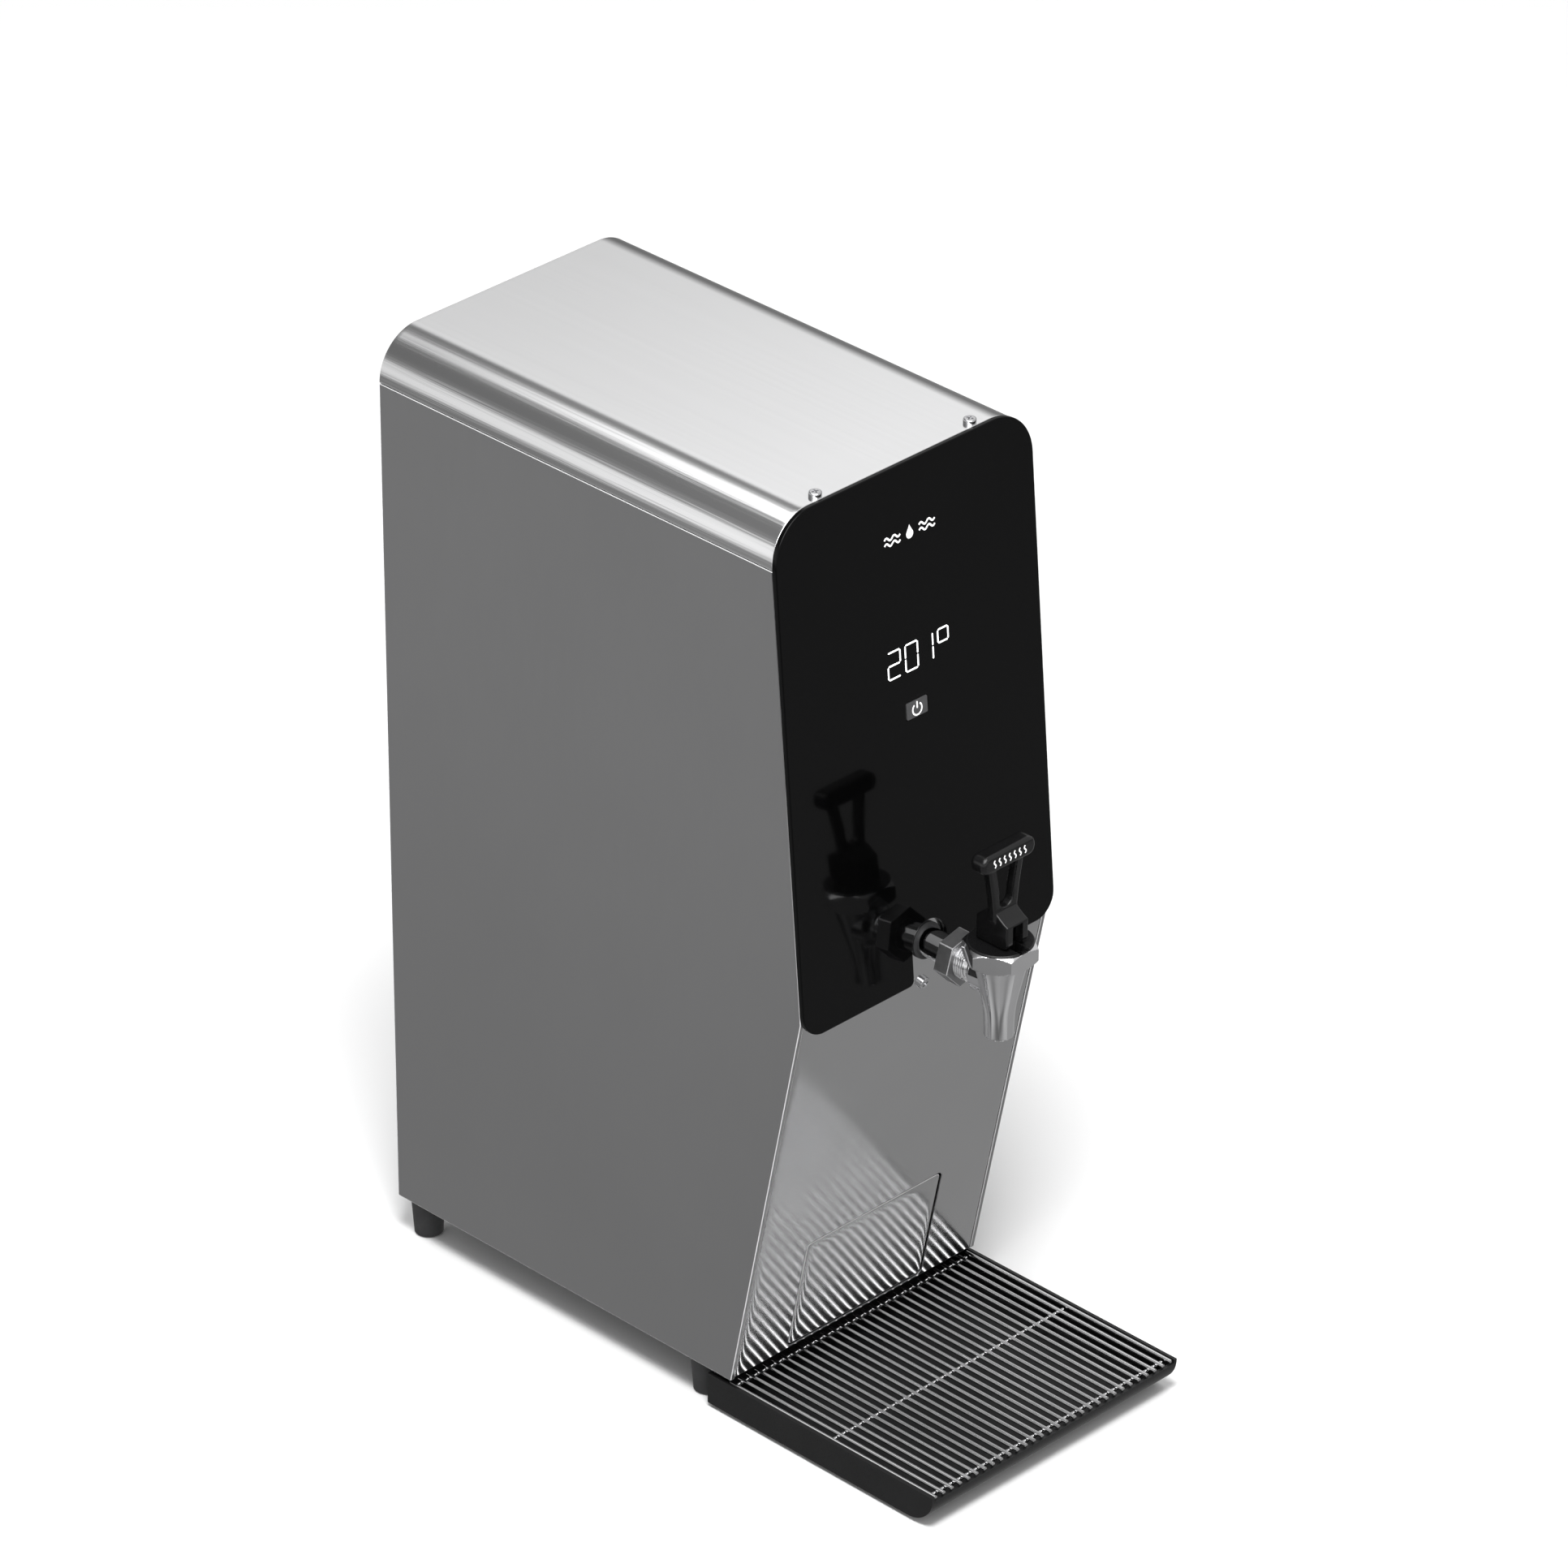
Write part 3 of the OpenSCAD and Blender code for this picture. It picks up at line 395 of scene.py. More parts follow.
def lathe(rings, count, matrix, reshape=None, angle=30):
    """A turned shape from (radius, height) rings; reshape(radius, height, angle) may change a radius."""
    points = []
    for radius, height in rings:
        for i in range(count):
            turn = 2 * math.pi * i / count
            r = reshape(radius, height, turn) if reshape else radius
            points.append((r * math.cos(turn), r * math.sin(turn), height))
    return mesh_from(points, ring_faces(len(rings), count), angle, matrix)


def joined(meshes):
    """Several meshes as one."""
    made = bmesh.new()
    for mesh in meshes:
        made.from_mesh(mesh)
    whole = bpy.data.meshes.new("whole")
    made.to_mesh(whole)
    made.free()
    for mesh in meshes:
        bpy.data.meshes.remove(mesh)
    return whole


def even_shading(made):
    """Flat faces stay flat next to rounded edges."""
    weighted = made.modifiers.new("even_shading", "WEIGHTED_NORMAL")
    weighted.keep_sharp = True
    return made


def give_thickness(holder, thickness):
    """Turns a surface into a sheet, inwards. The thickness is in millimetres."""
    thick = holder.modifiers.new("thick", "SOLIDIFY")
    thick.thickness = thickness * MM
    thick.offset = -1


def round_edges(holder, width, angle):
    """Rounds the edges sharper than the angle, over a width in millimetres."""
    bevel = holder.modifiers.new("rounded", "BEVEL")
    bevel.width = width * MM
    bevel.segments = 3
    bevel.limit_method = "ANGLE"
    bevel.angle_limit = math.radians(angle)
    return bevel


def cut_with(holder, tool):
    """Cuts another object's shape out of this one."""
    cut = holder.modifiers.new("cut", "BOOLEAN")
    cut.object = tool
    cut.solver = "EXACT"


# ---- Outlines ----


def arc(cx, cy, r, start, end, steps):
    """Points on an arc, angles in degrees."""
    return [
        (cx + r * math.cos(math.radians(start + (end - start) * i / steps)),
         cy + r * math.sin(math.radians(start + (end - start) * i / steps)))
        for i in range(steps + 1)
    ]


def box(x0, y0, x1, y1):
    """A rectangle."""
    return [(x0, y0), (x1, y0), (x1, y1), (x0, y1)]


def soft_box(x0, y0, x1, y1, r, steps=8):
    """A rectangle with rounded corners."""
    return (arc(x1 - r, y0 + r, r, -90, 0, steps) + arc(x1 - r, y1 - r, r, 0, 90, steps)
            + arc(x0 + r, y1 - r, r, 90, 180, steps) + arc(x0 + r, y0 + r, r, 180, 270, steps))


def ribbon(path, width):
    """The outline of a flat line of even width along a path."""
    left, right = [], []
    for i, (x, y) in enumerate(path):
        a = path[max(0, i - 1)]
        b = path[min(len(path) - 1, i + 1)]
        length = math.hypot(b[0] - a[0], b[1] - a[1])
        nx, ny = -(b[1] - a[1]) / length * width / 2, (b[0] - a[0]) / length * width / 2
        left.append((x + nx, y + ny))
        right.append((x - nx, y - ny))
    return left + right[::-1]


# ---- The front's own planes, read from the CAD ----

side = [v.co.copy() for v in nodes["side_panel_left"].data.vertices]
crease = min(side, key=lambda c: c.y)
ground = min(c.z for c in side)
foot = min((c for c in side if c.z < ground + 0.1 * MM), key=lambda c: c.y)
pane = [v.co.copy() for v in nodes["fascia_glass"].data.vertices]
pane_low = min(pane, key=lambda c: c.y)
pane_high = max(pane, key=lambda c: c.z)


def plane_at(origin, along):
    """A frame with X across, Y up the slope and Z out of the front."""
    v = Vector((0, along.y, along.z)).normalized()
    return Matrix(((1, 0, 0, 0), (0, v.y, -v.z, origin.y), (0, v.z, v.y, origin.z), (0, 0, 0, 1)))


UPPER = plane_at(crease, pane_high - pane_low)
LOWER = plane_at(foot, crease - foot)


def plane_box(node, plane):
    """A node's lows and highs across, up and out of a front plane, in millimetres."""
    inverse = plane.inverted()
    there = [inverse @ v.co for v in nodes[node].data.vertices]
    return [(min(c[i] for c in there) / MM, max(c[i] for c in there) / MM) for i in range(3)]


def up_the_glass(z):
    """How far up the upper plane a height lies, in millimetres."""
    return (z - crease.z) / MM / UPPER[2][1]


# ---- CAD nodes that stay, with finer edges ----

NODE_EDGE_ANGLE = 38
SHEET_EDGE_ANGLE = 50
SHEET_EDGE_WIDTH = 0.45

# The base plate is dark, so that it throws little light on the worktop under the cabinet
for node, made in nodes.items():
    made.data.materials.clear()
    made.data.materials.append(looks["dark_base" if node == "base_plate" else slot_of[node]])

edge_width = {
    "side_panel_left": 0.42, "side_panel_right": 0.42, "rear_panel": 0.3,
    "shank_nut": 0.5, "tap_bonnet": 0.45,
    "power_button": 0.35, "drip_tray": 0.55, "cable_gland": 0.4, "inlet_nut": 0.5,
    "overflow_spigot": 0.4, "drain_lever": 0.8, "drain_valve": 0.5, "inlet_valve": 0.5,
    "terminal_block": 0.6, "cover_magnets": 0.5, "control_board": 0.2, "tap_stem": 0.3,
    "foot_nuts": 0.3, "tray_pads": 0.4,
}
# The rounded edges of these nodes take a lighter look, a painted highlight line
for node, width in edge_width.items():
    nodes[node].data.materials.append(painted_edge_highlight(slot_of[node]))
    weld = nodes[node].modifiers.new("weld", "WELD")
    weld.merge_threshold = 0.001 * MM
    bevel = round_edges(nodes[node], width, NODE_EDGE_ANGLE)
    bevel.use_clamp_overlap = not node.startswith("side_panel")
    bevel.material = 1
    even_shading(nodes[node])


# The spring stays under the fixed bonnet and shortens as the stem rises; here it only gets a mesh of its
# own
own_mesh(nodes["tap_spring"])


# ---- Glass fascia ----

TOP_CORNER = 31
LOW_CORNER = 16
NOTCH = 14.2
NOTCH_MOUTH = 4
BUTTON_HALF_WIDTH, BUTTON_HALF_HEIGHT, BUTTON_CORNER = 8.85, 5.7, 1.2
GLASS_EDGE = 0.75

(gx0, gx1), (gv0, gv1), (gn0, gn1) = plane_box("fascia_glass", UPPER)
_, (bv0, bv1), (_, button_face) = plane_box("power_button", UPPER)
shank_mid = (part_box("shank_tube")[0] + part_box("shank_tube")[1]) / 2
shank_v = up_the_glass(shank_mid.z)
glass_loop = (
    arc(gx1 - TOP_CORNER, gv1 - TOP_CORNER, TOP_CORNER, 0, 90, 24)
    + arc(gx0 + TOP_CORNER, gv1 - TOP_CORNER, TOP_CORNER, 90, 180, 24)
    + arc(gx0 + LOW_CORNER, gv0 + LOW_CORNER, LOW_CORNER, 180, 270, 16)
    + arc(-NOTCH - NOTCH_MOUTH, gv0 + NOTCH_MOUTH, NOTCH_MOUTH, 270, 360, 8)
    + arc(0, shank_v, NOTCH, 180, 0, 32)
    + arc(NOTCH + NOTCH_MOUTH, gv0 + NOTCH_MOUTH, NOTCH_MOUTH, 180, 270, 8)
    + arc(gx1 - LOW_CORNER, gv0 + LOW_CORNER, LOW_CORNER, 270, 360, 16)
)
button_v = (bv0 + bv1) / 2
button_loop = soft_box(-BUTTON_HALF_WIDTH, button_v - BUTTON_HALF_HEIGHT,
                       BUTTON_HALF_WIDTH, button_v + BUTTON_HALF_HEIGHT, BUTTON_CORNER, 5)
glass = add_object("glass", plate([glass_loop, button_loop], gn0, gn1, GLASS_EDGE, UPPER), "black_glass",
                   "cabinet")
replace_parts(even_shading(glass), "fascia_glass")


# ---- Lit figures, symbols and marks ----

FIGURES_UP = 476.7 * MM
FIGURE_HEIGHT = 18.2
STROKE = 1.1
SEGMENT_GAP = 0.25
RING_DROP = 0.6
RING_OUTER, RING_INNER = 4.3, 3.25
RING_START, RING_END = 126, 414
MARK_UP = 554.8 * MM
RIPPLE_LENGTH, RIPPLE_SWELL, RIPPLE_LINE = 13, 1.1, 1.25

digits_v = up_the_glass(ground + FIGURES_UP)
base_v = digits_v - FIGURE_HEIGHT / 2
ring_v = button_v - RING_DROP
mark_v = up_the_glass(ground + MARK_UP)


def printed(loops, face, plane, sunk=0.02, proud=0.10, edge=0.03):
    """Thin print: its outlines reach from a little below a face to a little above it."""
    return plate(loops, face - sunk, face + proud, edge, plane, 1)


def segment(x0, y0, x1, y1, width):
    """One display segment with pointed ends, along X or along Y."""
    h = width / 2
    if abs(x1 - x0) > abs(y1 - y0):
        return [(x0, y0), (x0 + h, y0 - h), (x1 - h, y0 - h), (x1, y0), (x1 - h, y0 + h), (x0 + h, y0 + h)]
    return [(x0, y0), (x0 - h, y0 + h), (x0 - h, y1 - h), (x0, y1), (x0 + h, y1 - h), (x0 + h, y0 + h)]


def figure(x, width, shown):
    """The outlines of one seven-segment figure; shown names its lit segments a to g."""
    h, gap = STROKE / 2, SEGMENT_GAP
    left, right = x + h, x + width - h
    low, mid, high = base_v + h, base_v + FIGURE_HEIGHT / 2, base_v + FIGURE_HEIGHT - h
    bars = {
        "a": (left + gap, high, right - gap, high), "d": (left + gap, low, right - gap, low),
        "g": (left + gap, mid, right - gap, mid),
        "f": (left, mid + gap, left, high - gap), "b": (right, mid + gap, right, high - gap),
        "e": (left, low + gap, left, mid - gap), "c": (right, low + gap, right, mid - gap),
    }
    return [segment(*bars[s], STROKE) for s in shown]


def drop(x, y, size):
    """A plain water drop."""
    return arc(x, y, size, -215, 35, 22) + [(x + size * 0.34, y + size * 1.35), (x, y + size * 2.05),
                                            (x - size * 0.34, y + size * 1.35)]


def ripple(x, y):
    """A small level line of two waves."""
    path = [(x + RIPPLE_LENGTH * i / 30, y + RIPPLE_SWELL * math.sin(i / 30 * 4 * math.pi))
            for i in range(31)]
    return ribbon(path, RIPPLE_LINE)


figures = (figure(-22.0, 11.2, "abged") + figure(-7.6, 11.2, "abcdef") + figure(6.8, 9.4, "bc")
           + figure(19.4, 9.6, "abgf"))
add_object("display_figures", printed(figures, gn1, UPPER), "lit_segment", "cabinet")

power_ring = (arc(0, ring_v, RING_OUTER, RING_START, RING_END, 48)
              + arc(0, ring_v, RING_INNER, RING_END, RING_START, 48))
power_bar = soft_box(-0.55, ring_v + 0.4, 0.55, ring_v + 5.0, 0.5, 4)
add_object("power_symbol", printed([power_ring, power_bar], button_face, UPPER), "white_print", "button")

mark_loops = [drop(1.75, mark_v - 1.2, 2.9)]
mark_loops += [ripple(x, mark_v + up) for x in (-19, 9.5) for up in (-2.0, 1.6)]
add_object("drop_mark", printed(mark_loops, gn1, UPPER, proud=0.08), "white_print", "cabinet")


# ---- Top cover: a folded arch ----

BEND = 30.5
SEAM_CLEAR = 0.3
COVER_THICKNESS = 1.2

arch = [v.co for v in nodes["top_cover"].data.vertices]
arch_low, arch_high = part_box("top_cover")
arch_front = min(arch, key=lambda c: (round(c.z, 4), c.y))


def arch_section():
    """The arch seen from the front, from one seam to the other."""
    half, crown, seam = arch_high.x / MM, arch_high.z / MM, arch_low.z / MM
    bend = arc(BEND - half, crown - BEND, BEND, 180, 90, 40)
    left = [(-half, seam)] + [(x, z) for x, z in bend if z > seam + SEAM_CLEAR]
    return left + [(x, crown) for x in (-60, -30, 0, 30, 60)] + [(-x, z) for x, z in left[::-1]]


def arch_sheet():
    """The sheet, whose front end follows the lean of the glass."""
    lean = UPPER[1][1] / UPPER[2][1]
    section = arch_section()
    stations = (0, 0.01, 0.1, 0.5, 0.9, 0.99, 1)
    points = []
    for share in stations:
        for x, z in section:
            front = arch_front.y / MM + (z - arch_front.z / MM) * lean
            points.append((x, front + (arch_high.y / MM - front) * share, z))
    return mesh_from(points, row_faces(len(stations), len(section)), 40)


def thicken(holder):
    give_thickness(holder, COVER_THICKNESS)
    round_edges(holder, SHEET_EDGE_WIDTH, SHEET_EDGE_ANGLE)


top = add_object("top_sheet", shade(modified(arch_sheet(), thicken), 40), "top_steel", "cabinet")
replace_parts(even_shading(top), "top_cover")


# ---- Front sheet with rolled side edges, and the access cover ----

SHEET_THICKNESS = 1.0
SHEET_FOOT = 1.2
SHEET_HEAD_DROP = 30.4
TUBE_HOLE = 10.6
HATCH_CORNER = 4.4
COVER_CORNER = 3.8

(fx0, fx1), _, _ = plane_box("front_panel", LOWER)
(cx0, cx1), (cv0, cv1), _ = plane_box("access_cover", LOWER)
lower_length = (crease - foot).length / MM
upper_top = plane_box("front_panel", UPPER)[1][1]


def front_sheet():
    """The folded sheet as a swept section whose long edges roll back, before its holes are cut."""
    edge = [(-0.35, -8.0), (-0.35, -1.0), (-0.25, -0.68), (0.0, -0.44), (0.5, -0.28), (1.3, -0.16),
            (2.5, -0.07), (4.0, -0.02), (6.0, 0.0)]
    section = [(fx0 + x, n) for x, n in edge] + [(fx1 - x, n) for x, n in edge[::-1]]
    rows = [(LOWER, v) for v in (SHEET_FOOT, 30, 90, 180, lower_length - 4)]
    rows += [(UPPER, v) for v in (4, 40, upper_top - 40, upper_top - SHEET_HEAD_DROP)]
    points = [tuple((plane @ (Vector((x, v, n)) * MM)) / MM) for plane, v in rows for x, n in section]
    return mesh_from(points, row_faces(len(rows), len(section)), 50)


def cutter(loop, matrix):
    """A block that cuts an outline through the sheet."""
    return plate([loop], -14, 6, 0.001, matrix, 0)


# The hatch leaves a thin gap round the access cover. Glass, button and grommet hide the other holes
hatch = soft_box(cx0 - 0.7, cv0 - 0.5, cx1 + 0.7, cv1 + 0.8, HATCH_CORNER)
display_hole = soft_box(-26, digits_v - 12, 33, digits_v + 12, 1)
button_hole = soft_box(-11, button_v - 8, 11, button_v + 8, 1)
tube_hole = arc(0, shank_v, TUBE_HOLE, 0, 360, 40)[:-1]
hole_object = in_scene("holes", joined([
    cutter(hatch, LOWER), cutter(display_hole, UPPER), cutter(button_hole, UPPER), cutter(tube_hole, UPPER),
]))


def cut_and_round(holder):
    """Thickens the sheet, cuts its holes and marks its rounded edges 1, for the painted seam shadow."""
    holder.data.materials.append(looks["polished_steel"])
    holder.data.materials.append(looks["seam_line"])
    give_thickness(holder, SHEET_THICKNESS)
    cut_with(holder, hole_object)
    rounded = round_edges(holder, SHEET_EDGE_WIDTH, SHEET_EDGE_ANGLE)
    rounded.material = 1
    rounded.use_clamp_overlap = False


sheet = shade(modified(front_sheet(), cut_and_round), 40)
bpy.data.objects.remove(hole_object)
front = add_object("front_sheet", sheet, "polished_steel", "cabinet", edges=["seam_line"])
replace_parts(even_shading(front), "front_panel")


def pad(x0, y0, x1, y1, r, rows, matrix):
    """A rounded rectangle built of (inset, height) rings, closed at both ends."""
    points = []
    for inset, height in rows:
        points += [(x, y, height) for x, y in
                   soft_box(x0 + inset, y0 + inset, x1 - inset, y1 - inset, max(r - inset, 0.5), 8)]
    count = len(points) // len(rows)
    faces = ring_faces(len(rows), count)
    faces.append(tuple(range(count)))
    faces.append(tuple(range((len(rows) - 1) * count, len(rows) * count)))
    return mesh_from(points, faces, 40, matrix)


rolled = [(0.5, -1.7), (0.1, -1.6), (0.0, -1.35), (0.1, -1.05), (0.4, -0.72), (0.85, -0.47), (1.4, -0.30),
          (2.3, -0.17), (3.4, -0.08), (4.8, -0.02), (6.5, 0.0)]
cover_meshes = [pad(cx0, cv0, cx1, cv1, COVER_CORNER, rolled, LOWER)]

# The deep part of the rolled edge is painted dark, a painted seam shadow, with a painted highlight line
# inside it
for face in cover_meshes[0].polygons:
    depth = (LOWER.inverted() @ face.center).z / MM
    if -1.69 < depth < -0.8:
        face.material_index = 1
    elif -0.8 < depth < -0.5:
        face.material_index = 2

# Two upright flanges stiffen the cover from behind
for flange_x in (5 - cx1, cx1 - 5):
    flange = box(flange_x - 0.5, cv0 + 5, flange_x + 0.5, cv1 - 7)
    cover_meshes.append(plate([flange], -7, -0.6, 0.1, LOWER, 1))
cover = add_object("cover_sheet", joined(cover_meshes), "polished_steel", "cover",
                   edges=["seam_line", "satin_steel_edge"])
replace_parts(even_shading(cover), "access_cover")


# ---- Tap ----

FLUTES = 12
LIP = 0.6
LIP_RADIUS = 8.6
CONE_START, CONE_SLOPE, CONE_SOFTNESS = 18.5, 0.255, 8
COLLAR_LOW, COLLAR_HEIGHT = 52.0, 11.7
COLLAR_HALF_FLATS, COLLAR_CORNER = 20.1, 23.5
LOW_CHAMFER, HIGH_CHAMFER = 2.4, 2.6
THREAD_PITCH, THREAD_TURNS = 1.7, 5

body_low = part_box("tap_body")[0]
bonnet_low, bonnet_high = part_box("tap_bonnet")
axis_y = (bonnet_low.y + bonnet_high.y) / 2
TAP = Matrix.Translation((0, axis_y, body_low.z))


def outside(height):
    """The spout's outer radius: nearly straight by the lip, then a cone, with a soft bend between."""
    past = height - CONE_START
    return 8.9 + CONE_SLOPE * (math.hypot(past, CONE_SOFTNESS) + past) / 2


def fluted(radius, height, angle):
    """Shallow hollow flutes that die out towards the lip. The bore inside the lip stays round."""
    if radius <= LIP_RADIUS:
        return radius
    phase = (angle / (2 * math.pi) * FLUTES + 0.5) % 1
    depth = (0.38 + 0.42 * min(1, height / 45)) * min(1, height / 0.5)
    return radius - depth * 4 * phase * (1 - phase)


spout_heights = [LIP + i * (COLLAR_LOW - LIP) / 46 for i in range(47)]
spout_rows = [(6.5, 0.4), (6.8, 0.1), (7.6, 0.0), (8.5, 0.0), (8.8, 0.12), (8.92, 0.35)]
spout_rows += [(outside(height), height) for height in spout_heights]
spout = lathe(spout_rows, 240, TAP, fluted)
bore = lathe([(6.5, 0.4), (6.5, 25.8), (5.5, 25.8), (5.5, 32), (0.3, 32)], 48, TAP)


def hexed(radius, height, angle):
    """A hexagon whose corners are cut by the turned outline."""
    from_flat = (angle % (math.pi / 3)) - math.pi / 6
    return min(radius, COLLAR_HALF_FLATS / math.cos(from_flat))


def collar_outline(h):
    """The turned limit of the collar at a height above its underside."""
    if h < LOW_CHAMFER:
        return 20.3 + 3.2 * (h / LOW_CHAMFER) ** 0.8
    over = h - COLLAR_HEIGHT + HIGH_CHAMFER
    if over > 0:
        return COLLAR_CORNER - 3.4 * (over / HIGH_CHAMFER) ** 1.2
    return COLLAR_CORNER


collar_heights = [i * COLLAR_HEIGHT / 36 for i in range(37)]
collar_rows = [(16.0, COLLAR_LOW - 0.6), (16.6, COLLAR_LOW)]
collar_rows += [(collar_outline(h), COLLAR_LOW + h) for h in collar_heights]
collar_rows += [(15.6, COLLAR_LOW + COLLAR_HEIGHT), (15.6, COLLAR_LOW + 1)]
collar = lathe(collar_rows, 180, TAP, hexed, 22)

# The turned neck behind the spout, along the shank axis, with its thread next to the nut
SHANK = Matrix.Translation((0, 0, shank_mid.z)) @ Matrix.Rotation(math.radians(90), 4, "X")
neck_far = -axis_y / MM
nut_face = -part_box("shank_nut")[0].y / MM
thread_start = nut_face - 0.9
neck_rows = [(7.5, nut_face - 3)]
for i in range(THREAD_TURNS):
    start = thread_start + i * THREAD_PITCH
    neck_rows += [(10.4, start), (11.3, start + 0.55), (11.3, start + 0.8), (10.4, start + 1.35)]
end = thread_start + THREAD_TURNS * THREAD_PITCH
neck_rows += [(10.0, end + 0.2), (9.4, end + 0.9), (9.3, end + 1.6), (9.8, end + 2.6), (10.9, end + 3.8),
              (12.3, end + 5.0), (13.4, end + 6.4), (13.2, neck_far - 2)]
neck = lathe(neck_rows, 96, SHANK)
tap = add_object("tap_casting", joined([spout, bore, collar, neck]), "chrome", "cabinet")
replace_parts(tap, "tap_body")


# ---- Handle, moulded in one ----

HEEL = 5
GRIP_UP = 53.4
HALF_WIDTH = 8.9
LEG_THICKNESS = 6.4
VOXEL = 0.42
STEAM_RISE, STEAM_SWAY, STEAM_LINE, STEAM_SPACING = 5.2, 0.8, 0.95, 4.2

# ACROSS draws outlines as seen from the side. FACING draws them from the front, and its heights are minus Y
ACROSS = Matrix(((0, 0, 1, 0), (1, 0, 0, 0), (0, 1, 0, 0), (0, 0, 0, 1)))
FACING = Matrix(((1, 0, 0, 0), (0, 0, -1, 0), (0, 1, 0, 0), (0, 0, 0, 1)))

handle_low, handle_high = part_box("tap_handle")
front_y, back_y = handle_low.y / MM, handle_high.y / MM
heel_y = front_y + HEEL
heel_z = handle_low.z / MM + HEEL
grip_z = heel_z + GRIP_UP
leg_face = 9.6 - back_y
bar_face = 18.3 - back_y
block_loop = (
    arc(heel_y, heel_z, HEEL, 180, 270, 10)
    + [(back_y, heel_z - HEEL), (back_y, heel_z + 10.9), (back_y - 7.0, heel_z + 16.9),
       (front_y + 9.6, heel_z + 17.6), (front_y + 8.4, heel_z + 16.4), (front_y + 6.0, heel_z + 14.6),
       (front_y + 3.0, heel_z + 12.6), (front_y, heel_z + 11.2)]
)
bar_loop = soft_box(-22, grip_z - 6.2, 22, grip_z + 5.8, 5.3, 12)
legs_loop = [(-9.4, heel_z + 11), (9.4, heel_z + 11), (9.7, heel_z + 18), (11.2, heel_z + 30),
             (15.2, grip_z - 1), (-15.2, grip_z - 1), (-11.2, heel_z + 30), (-9.7, heel_z + 18)]
window_loop = (arc(0, heel_z + 24.2, 5.2, 180, 360, 14) + [
    (5.9, heel_z + 29), (10.5, grip_z + 1), (-10.5, grip_z + 1), (-5.9, heel_z + 29)])[::-1]
handle_mesh = joined([
    plate([block_loop], -HALF_WIDTH, HALF_WIDTH, 0.7, ACROSS),
    plate([legs_loop, window_loop], leg_face, leg_face + LEG_THICKNESS, 1.3, FACING, 4),
    plate([bar_loop], 6.6 - back_y, bar_face, 2.7, FACING, 6),
])
stem_slot = box(front_y - 2, heel_z - 8, back_y - 3.1, heel_z + 10.2)
slot_object = in_scene("slot", plate([stem_slot], -4.2, 4.2, 0.001, ACROSS, 0))


def mould(holder):
    """Melts the parts of the handle into one, and cuts the slot for the stem."""
    remesh = holder.modifiers.new("mould", "REMESH")
    remesh.mode = "VOXEL"
    remesh.voxel_size = VOXEL * MM
    relax = holder.modifiers.new("relax", "SMOOTH")
    relax.factor = 0.5
    relax.iterations = 5
    cut_with(holder, slot_object)


handle = add_object("handle_moulding", shade(modified(handle_mesh, mould), 50), "handle_black", "handle")
bpy.data.objects.remove(slot_object)
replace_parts(handle, "tap_handle")


def steam(x, z):
    """A rising S-shaped line."""
    path = [(x + STEAM_SWAY * math.sin(i / 16 * 2 * math.pi), z + STEAM_RISE * i / 16) for i in range(17)]
    return ribbon(path, STEAM_LINE)


steam_loops = [steam(STEAM_SPACING * i, grip_z - STEAM_RISE / 2) for i in range(-3, 4)]
add_object("steam_mark", printed(steam_loops, bar_face, FACING, sunk=0.05, proud=0.06, edge=0.02),
           "white_print", "handle")


# ---- Studio: the room that the steel and glass show ----

world = bpy.data.worlds.new("studio")
bpy.context.scene.world = world
world.use_nodes = True
tree = world.node_tree
backdrop = tree.nodes["Background"]
where = tree.nodes.new("ShaderNodeTexCoord")
heading = tree.nodes.new("ShaderNodeSeparateXYZ")
tree.links.new(where.outputs["Generated"], heading.inputs[0])
x, y, z = (heading.outputs[axis] for axis in "XYZ")


def feed(socket, value):
    """Puts a number, or another node's output, into a socket."""
    if isinstance(value, (int, float)):
        socket.default_value = value
    else:
        tree.links.new(value, socket)


def ranged(value, low, high, to_low=0.0, to_high=1.0):
    """A world value carried smoothly from one range to another."""
    made = tree.nodes.new("ShaderNodeMapRange")
    made.interpolation_type = "SMOOTHSTEP"
    for key, number in (("From Min", low), ("From Max", high), ("To Min", to_low), ("To Max", to_high)):
        made.inputs[key].default_value = number
    tree.links.new(value, made.inputs["Value"])
    return made.outputs["Result"]


def combined(kind, first, second=0.0):
    """A sum, product or other function of world values or numbers."""
    made = tree.nodes.new("ShaderNodeMath")
    made.operation = kind
    feed(made.inputs[0], first)
    feed(made.inputs[1], second)
    return made.outputs[0]


def blended(factor, first, second):
    """Two world values or numbers mixed by a factor."""
    made = tree.nodes.new("ShaderNodeMix")
    feed(made.inputs[FACTOR], factor)
    feed(made.inputs[FIRST_NUMBER], first)
    feed(made.inputs[SECOND_NUMBER], second)
    return made.outputs[MIXED_NUMBER]


def banded(bands):
    """Grey levels by the upward share of a direction, from (share, level) pairs."""
    ramp = tree.nodes.new("ShaderNodeValToRGB")
    ramp.color_ramp.interpolation = "EASE"
    stops = ramp.color_ramp.elements
    for i, (up, grey) in enumerate(bands):
        stop = stops[i] if i < 2 else stops.new((up + 1) / 2)
        stop.position = (up + 1) / 2
        stop.color = (grey, grey, grey, 1)
    fraction = tree.nodes.new("ShaderNodeMapRange")
    fraction.inputs["From Min"].default_value = -1
    tree.links.new(z, fraction.inputs["Value"])
    tree.links.new(fraction.outputs["Result"], ramp.inputs["Fac"])
    return ramp.outputs["Color"]


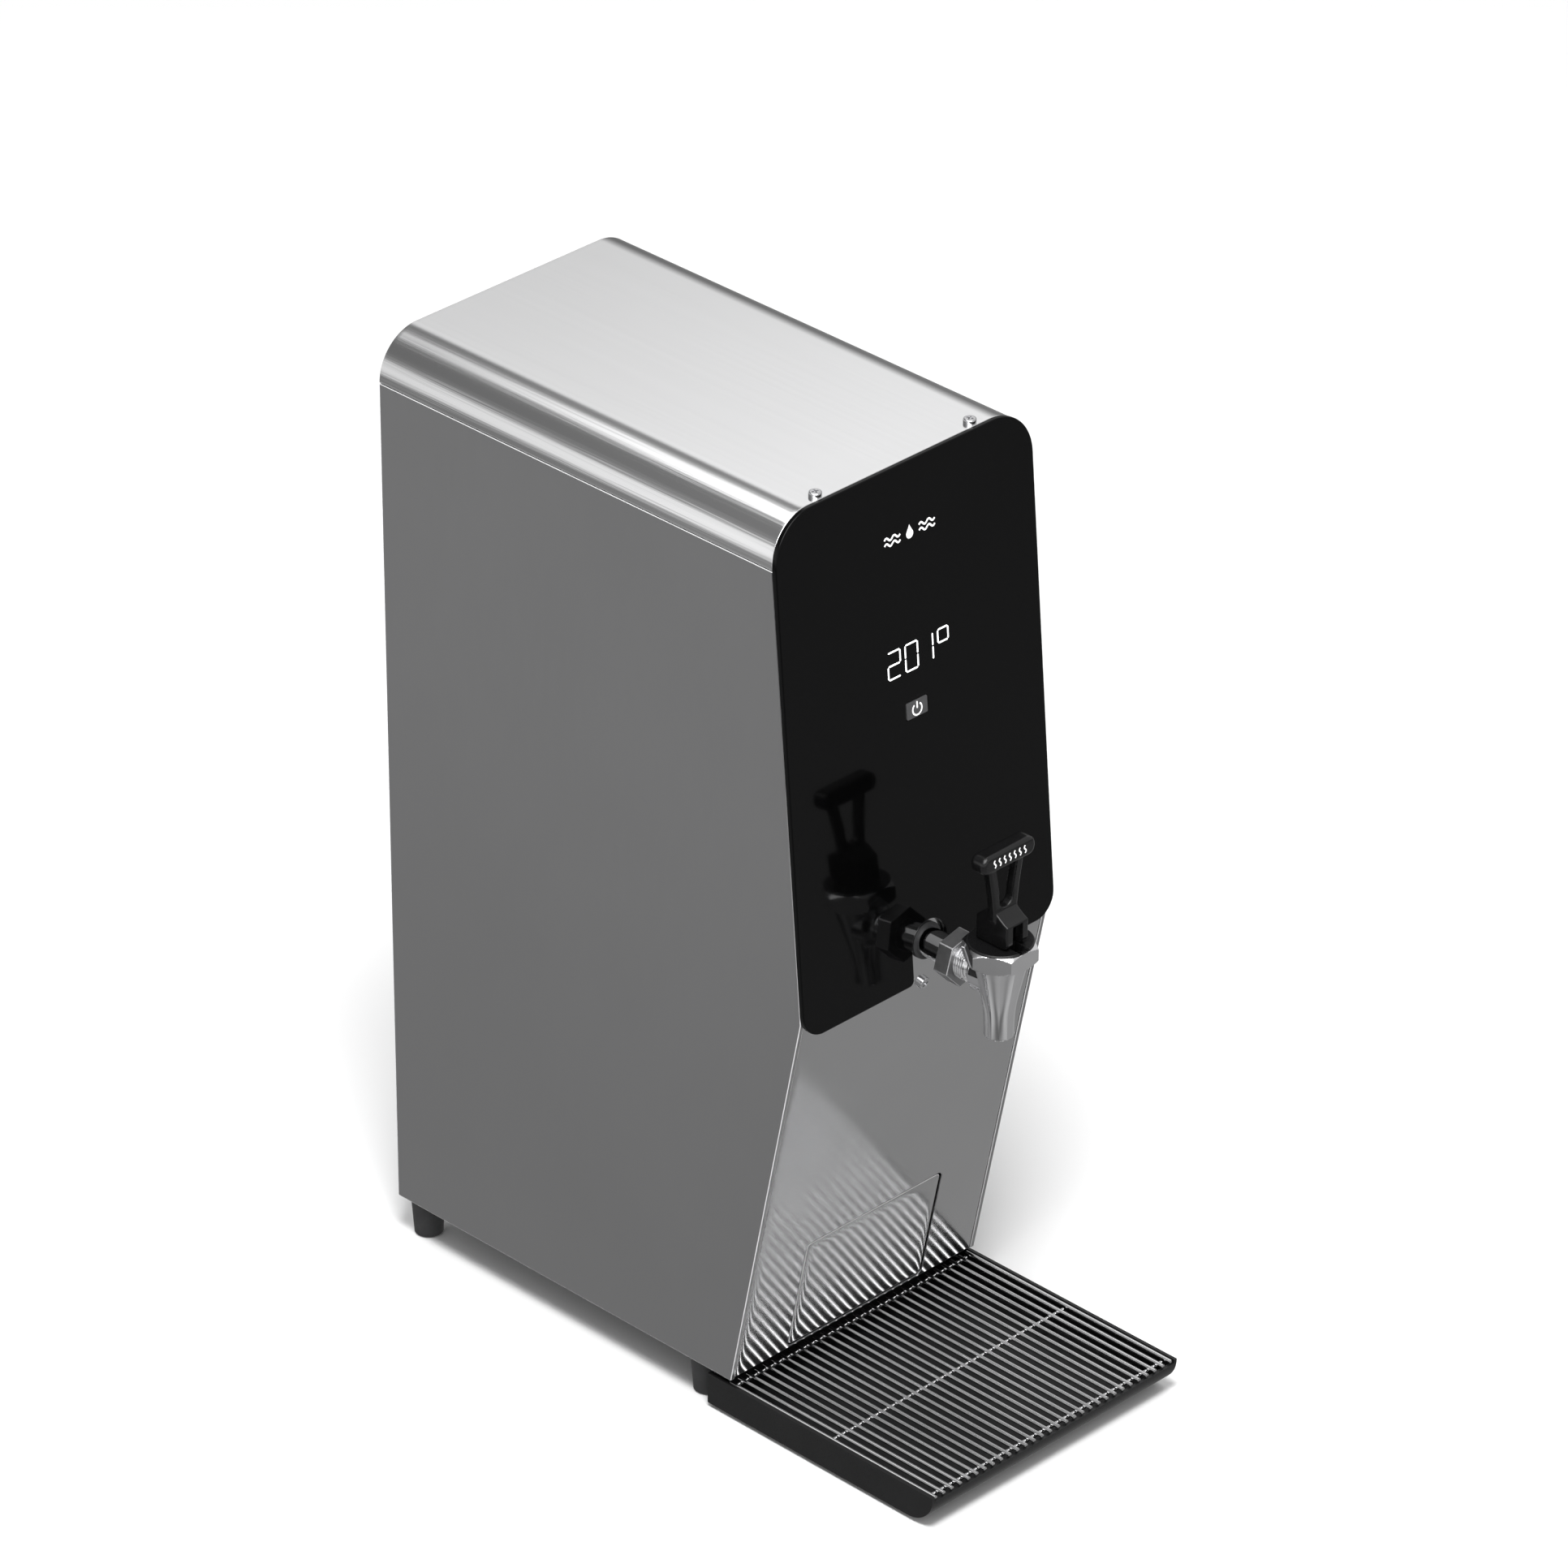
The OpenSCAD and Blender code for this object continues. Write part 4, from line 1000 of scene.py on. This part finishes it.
rear = banded([(-1.0, 0.34), (-0.6, 0.34), (-0.54, 0.31), (-0.46, 0.36), (-0.36, 0.20), (-0.30, 0.22),
               (-0.18, 0.55), (-0.08, 0.95), (0.10, 0.95), (0.22, 0.70), (0.36, 0.24), (0.52, 0.18),
               (0.70, 0.18), (0.75, 0.30), (0.785, 1.9), (1.0, 1.9)])
right_side = banded([(-1.0, 0.34), (-0.42, 0.34), (-0.25, 0.22), (0.0, 0.18), (0.12, 0.22), (0.22, 0.36),
                     (0.32, 0.56), (0.42, 0.82), (0.48, 0.95), (0.60, 0.97), (0.68, 0.30), (0.76, 0.35),
                     (0.80, 1.8), (1.0, 1.8)])
level = blended(ranged(x, 0.34, 0.52), rear, right_side)

# An even grey wall in front, above the horizon
FRONT_WALL = 0.70
in_front = combined("MULTIPLY", ranged(y, 0.40, 0.10), ranged(z, 0.0, 0.12))
level = blended(in_front, level, FRONT_WALL)

# Faint upright stripes in front on the left, below the horizon
STRIPES_PER_TURN = 9.0
STRIPE_STRENGTH = 0.17
DIAGONAL = -0.71
heading_angle = combined("ARCTAN2", y, x)
stripe = combined("SINE", combined("MULTIPLY", heading_angle, STRIPES_PER_TURN))
toward = combined("ADD", combined("MULTIPLY", x, DIAGONAL), combined("MULTIPLY", y, DIAGONAL))
sector = combined("MULTIPLY", ranged(toward, 0.30, 0.55), ranged(z, -0.05, -0.2))
stripes = combined("MULTIPLY", combined("MULTIPLY", stripe, sector), STRIPE_STRENGTH)
level = combined("ADD", level, stripes)
tree.links.new(level, backdrop.inputs["Color"])
backdrop.inputs["Strength"].default_value = 1.0

FLOOR_REACH = 40.0
FLOOR_GAP = 0.3 * MM
floor_mesh = bpy.data.meshes.new("floor")
floor_mesh.from_pydata([(x, y, cad_low.z - FLOOR_GAP) for x, y in
                        box(-FLOOR_REACH, -FLOOR_REACH, FLOOR_REACH, FLOOR_REACH)], [], [(0, 1, 2, 3)])
floor_look = Surface("floor_look", (0.89, 0.89, 0.89), 0.9, specular=0.0)
floor_mesh.materials.append(floor_look.finish(vary=0.01, scale=2, grain=50, bump=0.0))
floor = in_scene("floor", floor_mesh)
floor.visible_glossy = False


LIT_POINT = Vector((0, 0, 0.2))


def area_light(name, place, size, power):
    """A square lamp that points at the lower part of the cabinet."""
    light = bpy.data.lights.new(name, "AREA")
    light.size = size
    light.energy = power
    made = in_scene(name, light)
    made.location = place
    made.rotation_mode = "QUATERNION"
    made.rotation_quaternion = (LIT_POINT - Vector(place)).to_track_quat("-Z", "Y")
    return made


key = area_light("key", (-1.15, -1.15, 3.9), 1.1, 150)
key.visible_glossy = False
gleam = area_light("gleam", (-1.1, -1.15, 2.7), 2.8, 108)
gleam.visible_diffuse = False

# The camera looks from the front left and from above. Lens and sensor are in millimetres
LENS = 207.91517
SENSOR = 36
AZIMUTH, ELEVATION, ROLL = math.radians(-45.119), math.radians(30.046), math.radians(0.087)
AIM_FROM_FOOT = Vector((0, 0.14662, 0.29945))
AIM_RIGHT, AIM_UP = 0.0610, 0.01075
DISTANCE = 5.45468

camera_data = bpy.data.cameras.new("camera")
camera = in_scene("camera", camera_data)
bpy.context.scene.camera = camera
camera_data.lens = LENS
camera_data.sensor_width = SENSOR
camera_data.clip_start = 0.1
camera_data.clip_end = 200
backward = Vector((math.sin(AZIMUTH) * math.cos(ELEVATION), -math.cos(AZIMUTH) * math.cos(ELEVATION),
                   math.sin(ELEVATION)))
right = (-backward).cross(Vector((0, 0, 1))).normalized()
upward = right.cross(-backward)
right, upward = (right * math.cos(ROLL) + upward * math.sin(ROLL),
                 upward * math.cos(ROLL) - right * math.sin(ROLL))
aim = Vector((0, foot.y, foot.z)) + AIM_FROM_FOOT + right * AIM_RIGHT + upward * AIM_UP
place = aim + backward * DISTANCE
camera.matrix_world = Matrix((
    (right.x, upward.x, backward.x, place.x), (right.y, upward.y, backward.y, place.y),
    (right.z, upward.z, backward.z, place.z), (0, 0, 0, 1)))

view = bpy.context.scene.view_settings
view.view_transform = "Standard"
view.look = "None"
